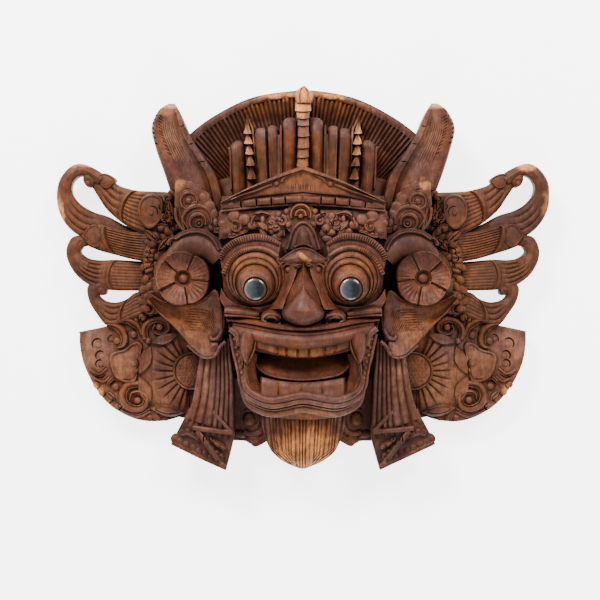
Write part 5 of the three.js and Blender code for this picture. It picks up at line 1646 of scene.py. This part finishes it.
# How far the hand wanders and over what distance, and the level under which the back stays flat, in metres
WANDER = 0.0009
WANDER_REACH = 0.035
SAWN_LEVEL = 0.004
HAND_SEED = 5


def hand_cut(mask):
    """Gives the carving the slight unevenness of work done by hand, kept inside the solid's box."""
    noise.seed_set(HAND_SEED)
    count = len(mask.data.vertices)
    points = np.empty(count * 3, np.float32)
    mask.data.vertices.foreach_get("co", points)
    points = points.reshape(-1, 3)
    moved = points.copy()
    for k, point in enumerate(points):
        if point[2] < SAWN_LEVEL:
            continue
        shift = noise.noise_vector(Vector(point / WANDER_REACH))
        moved[k] += np.array(shift) * WANDER
    moved = np.clip(moved, np.array(MASK_LOW), np.array(MASK_HIGH))
    mask.data.vertices.foreach_set("co", moved.ravel())
    mask.data.update()


# Materials

def new_material(name):
    """A material with a principled shader and nothing else."""
    material = bpy.data.materials.new(name)
    material.use_nodes = True
    tree = material.node_tree
    tree.nodes.clear()
    output = tree.nodes.new("ShaderNodeOutputMaterial")
    shader = tree.nodes.new("ShaderNodeBsdfPrincipled")
    tree.links.new(shader.outputs["BSDF"], output.inputs["Surface"])
    return material, tree, shader


def feed(tree, socket, value):
    """Links a socket to another one, or sets its value."""
    if isinstance(value, bpy.types.NodeSocket):
        tree.links.new(value, socket)
    else:
        socket.default_value = value


def node(tree, kind, inputs=None, **settings):
    """A node with its settings, its inputs linked or set."""
    made = tree.nodes.new(kind)
    for key, value in settings.items():
        setattr(made, key, value)
    for key, value in (inputs or {}).items():
        feed(tree, made.inputs[key], value)
    return made


def maths(tree, operation, *values, **settings):
    """What a Math node makes of sockets or numbers."""
    return node(tree, "ShaderNodeMath", dict(enumerate(values)), operation=operation, **settings).outputs[0]


def vectors(tree, operation, *values, output=0):
    """What a Vector Math node makes of its values."""
    made = node(tree, "ShaderNodeVectorMath", dict(enumerate(values)), operation=operation)
    return made.outputs[output]


def noise_at(tree, place, scale, detail, output=0, **inputs):
    """Noise at a place."""
    made = node(tree, "ShaderNodeTexNoise", {"Vector": place, "Scale": scale, "Detail": detail, **inputs})
    return made.outputs[output]


def mixed(tree, factor, a, b, blend="MIX"):
    """Colour b laid over colour a."""
    made = tree.nodes.new("ShaderNodeMix")
    made.data_type = "RGBA"
    made.blend_type = blend
    for key, value in ((0, factor), (6, a), (7, b)):
        feed(tree, made.inputs[key], value)
    return made.outputs[2]


def ranged(tree, value, low, high, to_low=0.0, to_high=1.0):
    """A value moved from one range to another."""
    made = node(tree, "ShaderNodeMapRange", {0: value, 1: low, 2: high, 3: to_low, 4: to_high})
    made.clamp = True
    return made.outputs[0]


def patch_mask(tree, folded, x, y, reach_x, reach_y, softness=0.35):
    """1 inside an oval of the front, given in grid units on either side of the middle, and 0 outside it."""
    middle = (x * STEP[0], y * STEP[1], 0)
    scale = (1 / (reach_x * STEP[0]), 1 / (reach_y * STEP[1]), 0)
    scaled = vectors(tree, "MULTIPLY", vectors(tree, "SUBTRACT", folded, middle), scale)
    length = vectors(tree, "LENGTH", scaled, output="Value")
    return ranged(tree, length, 1 + softness, 1 - softness)


def together(tree, masks):
    """The strongest of several masks."""
    result = masks[0]
    for mask in masks[1:]:
        result = maths(tree, "MAXIMUM", result, mask)
    return result


# Where the wood is lighter gold (rubbed wear with a painted highlight), darker (darker staining with
# painted shade), more orange, grey with a painted sheen, or paler than the rest: the middle of each place
# and its reach across and upwards, in grid units, the same on both sides
PLACES = {}
# Lighter gold: rubbed wear with a painted highlight
PLACES["golden"] = [
    (0, -70, 12, 10), (0, 8, 2, 1.2), (53, 69.4, 4.4, 2.2), (0, 72, 3.8, 9), (8, 75.2, 10, 1.4),
    (90, 46.4, 6, 1.6), (99, 28, 1.6, 7), (21.6, 55, 2.0, 8), (84, -45.4, 1.6, 2.4), (49.8, 38.4, 2, 2),
]
# Darker: darker staining with painted shade
PLACES["dark"] = [
    (12, 64, 12, 5), (30, 60, 14, 8), (43, 52, 9, 9), (15, 50, 11, 13), (82, 10, 22, 32), (43, 14, 14, 9),
    (61, 20, 7, 18), (0, 14, 9, 8), (27, -52, 4, 12),
]
PLACES["orange"] = [
    (0, 39, 34, 6), (0, -64, 18, 14), (0, -29, 17, 2.4), (0, 25.6, 6, 3), (16, 22, 14, 5),
    (0, 52, 3.6, 16), (48, -37, 5, 6), (46, -20, 9, 9), (22, 8, 9, 7), (80, 8, 26, 34), (53, 56, 7, 9),
    (63, -39, 17, 13), (14, 52, 14, 9), (0, 70, 24, 5),
]
# Grey: a painted sheen
PLACES["grey"] = [
    (19, 13, 15, 5), (26, 24, 8, 5), (5, 63, 5, 4), (14, 60, 6, 4), (27, 53, 4, 5), (85, -28, 7, 9),
    (48, 46, 9, 12), (34, -40, 8, 30), (62, -28, 10, 6), (0, -48, 24, 3), (27, 22, 6, 4),
    (14, -56, 6, 8), (53, 60, 4, 9), (17, 22, 16, 6),
]
PLACES["tan"] = [
    (58, -42, 10, 11), (73, -34, 7, 7), (86, -32, 4, 10), (78, -50, 5, 4), (51, 60, 4, 8),
    (38, -34, 2, 14), (0, -52, 14, 2),
]


# Colours of the wood as red, green, blue and alpha, and shares that multiply the colour under them
BROWN = (0.047, 0.0133, 0.0062, 1)
RED_BROWN = (0.079, 0.0228, 0.0098, 1)
ORANGE_BROWN = (0.146, 0.043, 0.0092, 1)
# Rubbed wear with a painted highlight on the front faces
GOLD_WEAR_AND_HIGHLIGHT = (0.46, 0.176, 0.054, 1)
# Painted sheen
PAINTED_SHEEN_GREY = (0.100, 0.044, 0.035, 1)
TAN = (0.168, 0.071, 0.036, 1)
DARK_FIBRE = (0.022, 0.0062, 0.0030, 1)
PORE = (0.012, 0.004, 0.002, 1)
# Painted shade in the recesses
RECESS_SHADE = (0.024, 0.0088, 0.0050, 1)
# Worn edges, lightened also as a painted highlight along the ridges
WORN_AND_HIGHLIT_EDGE = (0.21, 0.090, 0.040, 1)
# Darkens the dark places and the fan's web: darker staining with painted shade
DARK_AND_SHADE_SHARE = (0.54, 0.53, 0.52, 1)
# Painted shade on steep walls
STEEP_SHADE_SHARE = (0.34, 0.31, 0.32, 1)
LIGHT_SHARE = (1.7, 1.75, 1.8, 1)
DIM_SHARE = (0.5, 0.46, 0.44, 1)

# How far the painted shade in the recesses and the worn, painted-highlight edges reach, in metres
RECESS_SHADE_REACH = 0.006
EDGE_REACH = 0.0012


def front_place(tree, place):
    """Where a point is on the front, both sides folded onto one, loosened by noise."""
    across = node(tree, "ShaderNodeSeparateXYZ", {0: vectors(tree, "ABSOLUTE", place)}).outputs[0]
    upwards = node(tree, "ShaderNodeSeparateXYZ", {0: place}).outputs[1]
    drift = vectors(tree, "SUBTRACT", noise_at(tree, place, 60.0, 3.0, "Color"), (0.5, 0.5, 0.5))
    drift = node(tree, "ShaderNodeVectorMath", {0: drift, "Scale": 0.02}, operation="SCALE").outputs[0]
    flat = node(tree, "ShaderNodeCombineXYZ", {0: across, 1: upwards}).outputs[0]
    return vectors(tree, "MULTIPLY", vectors(tree, "ADD", flat, drift), (1, 1, 0))


def fan_web(tree, place):
    """1 on the fluted web of the fan behind the crown."""
    folded = vectors(tree, "ABSOLUTE", place)
    zone = patch_mask(tree, folded, 0, 56, 53, 24, 0.05)
    disc_of_fan = patch_mask(tree, folded, 0, 8.9, 67.5, 67.5, 0.006)
    return maths(tree, "SUBTRACT", zone, disc_of_fan, use_clamp=True)


def patched(tree, colour, mask, patches, strength, laid_colour):
    """Lays a colour over the places of a mask, in soft patches."""
    amount = maths(tree, "MULTIPLY", mask, patches)
    return mixed(tree, ranged(tree, amount, 0, 1, 0, strength), colour, laid_colour)


def stain_and_painted_light(tree, place, grain, masks, shaded):
    """The colour: brown to red-brown along the grain, other shades at the places of the masks, painted
    shade, highlight and sheen.
    """
    broad = noise_at(tree, grain, 34.0, 4.0, Distortion=0.4)
    soft = noise_at(tree, place, 22.0, 4.0)
    facing = node(
        tree, "ShaderNodeSeparateXYZ", {0: node(tree, "ShaderNodeTexCoord").outputs["Normal"]},
    ).outputs[2]
    colour = mixed(tree, ranged(tree, broad, 0.35, 0.65), BROWN, RED_BROWN)
    colour = patched(tree, colour, masks["orange"], ranged(tree, soft, 0.3, 0.6), 0.85, ORANGE_BROWN)
    # Painted shade, with darker staining, in the dark places and on the fan's web
    colour = mixed(tree, shaded, colour, DARK_AND_SHADE_SHARE, "MULTIPLY")
    # Painted shade: steep walls darker than faces turned to the front
    colour = mixed(tree, ranged(tree, facing, 0.05, 0.7, 0.75, 0.0), colour, STEEP_SHADE_SHARE, "MULTIPLY")
    # Rubbed wear with a painted highlight: gold only on faces turned to the front
    golden = maths(tree, "MULTIPLY", masks["golden"], ranged(tree, facing, 0.15, 0.5))
    colour = patched(tree, colour, golden, ranged(tree, soft, 0.2, 0.55), 0.85, GOLD_WEAR_AND_HIGHLIGHT)
    # Painted sheen in the grey places
    colour = patched(tree, colour, masks["grey"], ranged(tree, soft, 0.3, 0.6), 0.6, PAINTED_SHEEN_GREY)
    return patched(tree, colour, masks["tan"], ranged(tree, soft, 0.25, 0.6), 0.6, TAN)


def aged_and_painted_light(tree, colour, mottle, fibre, pores):
    """Mottling, dark fibres, pores, painted shade in recesses, and wear with a painted highlight on the
    edges.
    """
    colour = mixed(tree, ranged(tree, mottle, 0.48, 0.72, 0.0, 0.75), colour, LIGHT_SHARE, "MULTIPLY")
    colour = mixed(tree, ranged(tree, mottle, 0.52, 0.3, 0.0, 0.75), colour, DIM_SHARE, "MULTIPLY")
    colour = mixed(tree, ranged(tree, fibre, 0.42, 0.7, 0.0, 0.45), colour, DARK_FIBRE)
    colour = mixed(tree, ranged(tree, pores, 0.6, 0.72, 0.0, 0.5), colour, PORE)
    # Painted shade: darker where the surface is hemmed in
    recess_shade = node(tree, "ShaderNodeAmbientOcclusion", {"Distance": RECESS_SHADE_REACH}, samples=6).outputs["AO"]
    colour = mixed(tree, ranged(tree, recess_shade, 0.2, 0.88, 0.66, 0.0), colour, RECESS_SHADE)
    # Worn edges with a painted highlight: lighter on sharp ridges
    edge = node(
        tree, "ShaderNodeAmbientOcclusion", {"Distance": EDGE_REACH}, samples=6, inside=True,
    ).outputs["AO"]
    edge = ranged(tree, edge, 0.3, 0.75, 0.45, 0.0)
    return mixed(tree, maths(tree, "MULTIPLY", edge, ranged(tree, mottle, 0.42, 0.62)), colour, WORN_AND_HIGHLIT_EDGE)


def wood_material():
    """Dark hardwood in zones of stains, grain, wear, painted shade, highlight and sheen, and dull wax."""
    material, tree, shader = new_material("hardwood_with_painted_light")
    place = node(tree, "ShaderNodeTexCoord").outputs["Object"]
    front = front_place(tree, place)
    masks = {
        shade_name: together(tree, [patch_mask(tree, front, *oval) for oval in ovals])
        for shade_name, ovals in PLACES.items()
    }
    web = fan_web(tree, place)
    grain = node(tree, "ShaderNodeMapping", {"Vector": place, "Scale": (1.0, 0.12, 1.0)}).outputs[0]
    fibre = noise_at(tree, grain, 620.0, 3.0)
    pores = noise_at(tree, grain, 1500.0, 2.0)
    mottle = noise_at(tree, place, 130.0, 5.0, Roughness=0.65)
    # The dark places and the fan's web carry painted shade with darker staining
    colour = stain_and_painted_light(tree, place, grain, masks, together(tree, [masks["dark"], web]))
    colour = aged_and_painted_light(tree, colour, mottle, fibre, pores)
    tree.links.new(colour, shader.inputs["Base Color"])

    # The wax is duller where the wood is dark or orange, and the fibres and pores stand out a little
    dull = ranged(tree, together(tree, [masks["dark"], masks["orange"], web]), 0, 1, 0.0, 0.12)
    rough = maths(tree, "ADD", ranged(tree, fibre, 0.3, 0.7, 0.40, 0.56), dull)
    tree.links.new(rough, shader.inputs["Roughness"])
    relief = maths(tree, "ADD", fibre, pores)
    bump = node(tree, "ShaderNodeBump", {"Height": relief, "Strength": 0.35, "Distance": 0.0003})
    tree.links.new(bump.outputs[0], shader.inputs["Normal"])
    shader.inputs["Specular IOR Level"].default_value = 0.16
    return material


# Colours of the shell discs, on the viewer's left and right of each: the pale left is a painted reflection
SHELL_PAINTED_GLEAM, SHELL_RIGHT = (0.028, 0.042, 0.050, 1), (0.0024, 0.0034, 0.0042, 1)
SHELL_RIM_PAINTED_GLEAM, SHELL_RIM_RIGHT = (0.125, 0.082, 0.066, 1), (0.026, 0.016, 0.012, 1)
SHELL_SEAT = (0.045, 0.016, 0.009, 1)
LENS_SHOULDER = 0.003


def shell_material(name, x, y, radius):
    """Glossy cloudy shell, pale on the viewer's left by a painted reflection, dark on the right, with a
    brown rim.
    """
    material, tree, shader = new_material(name)
    place = node(tree, "ShaderNodeTexCoord").outputs["Object"]
    flat = vectors(tree, "MULTIPLY", vectors(tree, "SUBTRACT", place, (x, y, 0)), (1, 1, 0))
    reach = vectors(tree, "LENGTH", flat, output="Value")
    cloud = noise_at(tree, place, 260.0, 4.0)
    drift = maths(tree, "MULTIPLY_ADD", cloud, radius, -radius / 2)
    across = maths(tree, "ADD", node(tree, "ShaderNodeSeparateXYZ", {0: flat}).outputs[0], drift)
    # Painted reflection: the shell and its rim are paler towards the viewer's left
    side = ranged(tree, across, -radius * 0.7, radius * 0.3)
    inner = mixed(tree, side, SHELL_PAINTED_GLEAM, SHELL_RIGHT)
    rim = mixed(tree, side, SHELL_RIM_PAINTED_GLEAM, SHELL_RIM_RIGHT)
    colour = mixed(tree, ranged(tree, reach, radius * 0.7, radius * 0.84), inner, rim)
    colour = mixed(tree, ranged(tree, reach, radius * 0.9, radius * 0.97), colour, SHELL_SEAT)
    tree.links.new(colour, shader.inputs["Base Color"])
    shader.inputs["Roughness"].default_value = 0.16
    shader.inputs["Specular IOR Level"].default_value = 0.4
    return material


def eye_lens(name, node_name):
    """A polished disc with a domed face."""
    low, high = (np.array(corner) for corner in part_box(node_name))
    x, y = ((low + high) / 2)[:2]
    radius = (high[1] - low[1]) / 2
    shoulder = low[2] + LENS_SHOULDER
    dome = [
        (radius * math.cos(a), shoulder + (high[2] - shoulder) * math.sin(a))
        for a in steps(10, 0, math.pi / 2)[:-1]
    ]
    profile = [(0, low[2]), (radius * 0.999, low[2]), *dome, (0, high[2])]
    lens_object = mesh_object(name, *turned(profile, 72, x, y))
    lens_object.data.materials.append(shell_material(f"{name}_shell", x, y, radius))
    shade(lens_object, LENS_CREASE)
    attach(lens_object, "root")
    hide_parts(node_name)


# Edges sharper than these angles, in degrees, show as creases
CARVING_CREASE = 38
LENS_CREASE = 40


def shade(obj, degrees):
    """Smooth shading, with creases at the sharp edges."""
    obj.data.polygons.foreach_set("use_smooth", np.ones(len(obj.data.polygons), bool))
    obj.data.set_sharp_from_angle(angle=math.radians(degrees))
    obj.data.update()


# The mask

mask = carved_mask()
hand_cut(mask)
mask.data.materials.clear()
mask.data.materials.append(wood_material())
shade(mask, CARVING_CREASE)
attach(mask, "root")
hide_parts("mask")
for name in ("eye_inlay_left", "eye_inlay_right"):
    eye_lens(name.replace("inlay", "lens"), name)


# The floor, the lights and the camera

FLOOR_REACH = 6.0
FLOOR_GLOW = 3.4
WORLD_LIGHT = 0.85


def floor_plane():
    """A plain pale floor that glows a little, so that it shows nearly white."""
    points = FLOOR_REACH * np.array([(-1, -1, 0), (1, -1, 0), (1, 1, 0), (-1, 1, 0)])
    floor = mesh_object("floor", points, np.array([(0, 1, 2), (0, 2, 3)]))
    material, _, shader = new_material("pale_floor")
    shader.inputs["Base Color"].default_value = (0.9, 0.9, 0.9, 1)
    shader.inputs["Roughness"].default_value = 0.5
    shader.inputs["Emission Color"].default_value = (1, 1, 1, 1)
    shader.inputs["Emission Strength"].default_value = FLOOR_GLOW
    floor.data.materials.append(material)


# What the lights point at, a little above the floor, in metres
LIT_POINT = (0, 0, 0.05)


def area_light(name, place, size, power):
    """A soft square light, its place and size in metres and its power in watts."""
    data = bpy.data.lights.new(name, "AREA")
    data.shape = "SQUARE"
    data.size = size
    data.energy = power
    light = bpy.data.objects.new(name, data)
    light.location = place
    light.rotation_euler = (Vector(LIT_POINT) - Vector(place)).to_track_quat("-Z", "Y").to_euler()
    bpy.context.scene.collection.objects.link(light)


floor_plane()
area_light("key", (-0.8, 1.4, 1.5), 0.7, 100)
area_light("side", (0.9, 1.2, 1.6), 0.7, 55)
area_light("front", (0.2, -1.5, 1.5), 1.0, 30)
world = bpy.data.worlds.new("studio")
world.use_nodes = True
background = world.node_tree.nodes["Background"]
background.inputs["Color"].default_value = (1, 1, 1, 1)
background.inputs["Strength"].default_value = WORLD_LIGHT
bpy.context.scene.world = world

# The camera looks straight down on the mask, from a little below its middle
CAMERA_X, CAMERA_Y = -1.2, -8.5
CAMERA_HEIGHT = 2.0
SENSOR_WIDTH = 36
PICTURE_WIDTH, FOCAL_PIXELS = 600, 2157
FOCAL_SHARE = FOCAL_PIXELS / PICTURE_WIDTH
camera_data = bpy.data.cameras.new("camera")
camera_data.sensor_width = SENSOR_WIDTH
camera_data.lens = SENSOR_WIDTH * FOCAL_SHARE
camera = bpy.data.objects.new("camera", camera_data)
camera.location = (CAMERA_X * STEP[0], CAMERA_Y * STEP[1], CAMERA_HEIGHT)
bpy.context.scene.collection.objects.link(camera)
bpy.context.scene.camera = camera
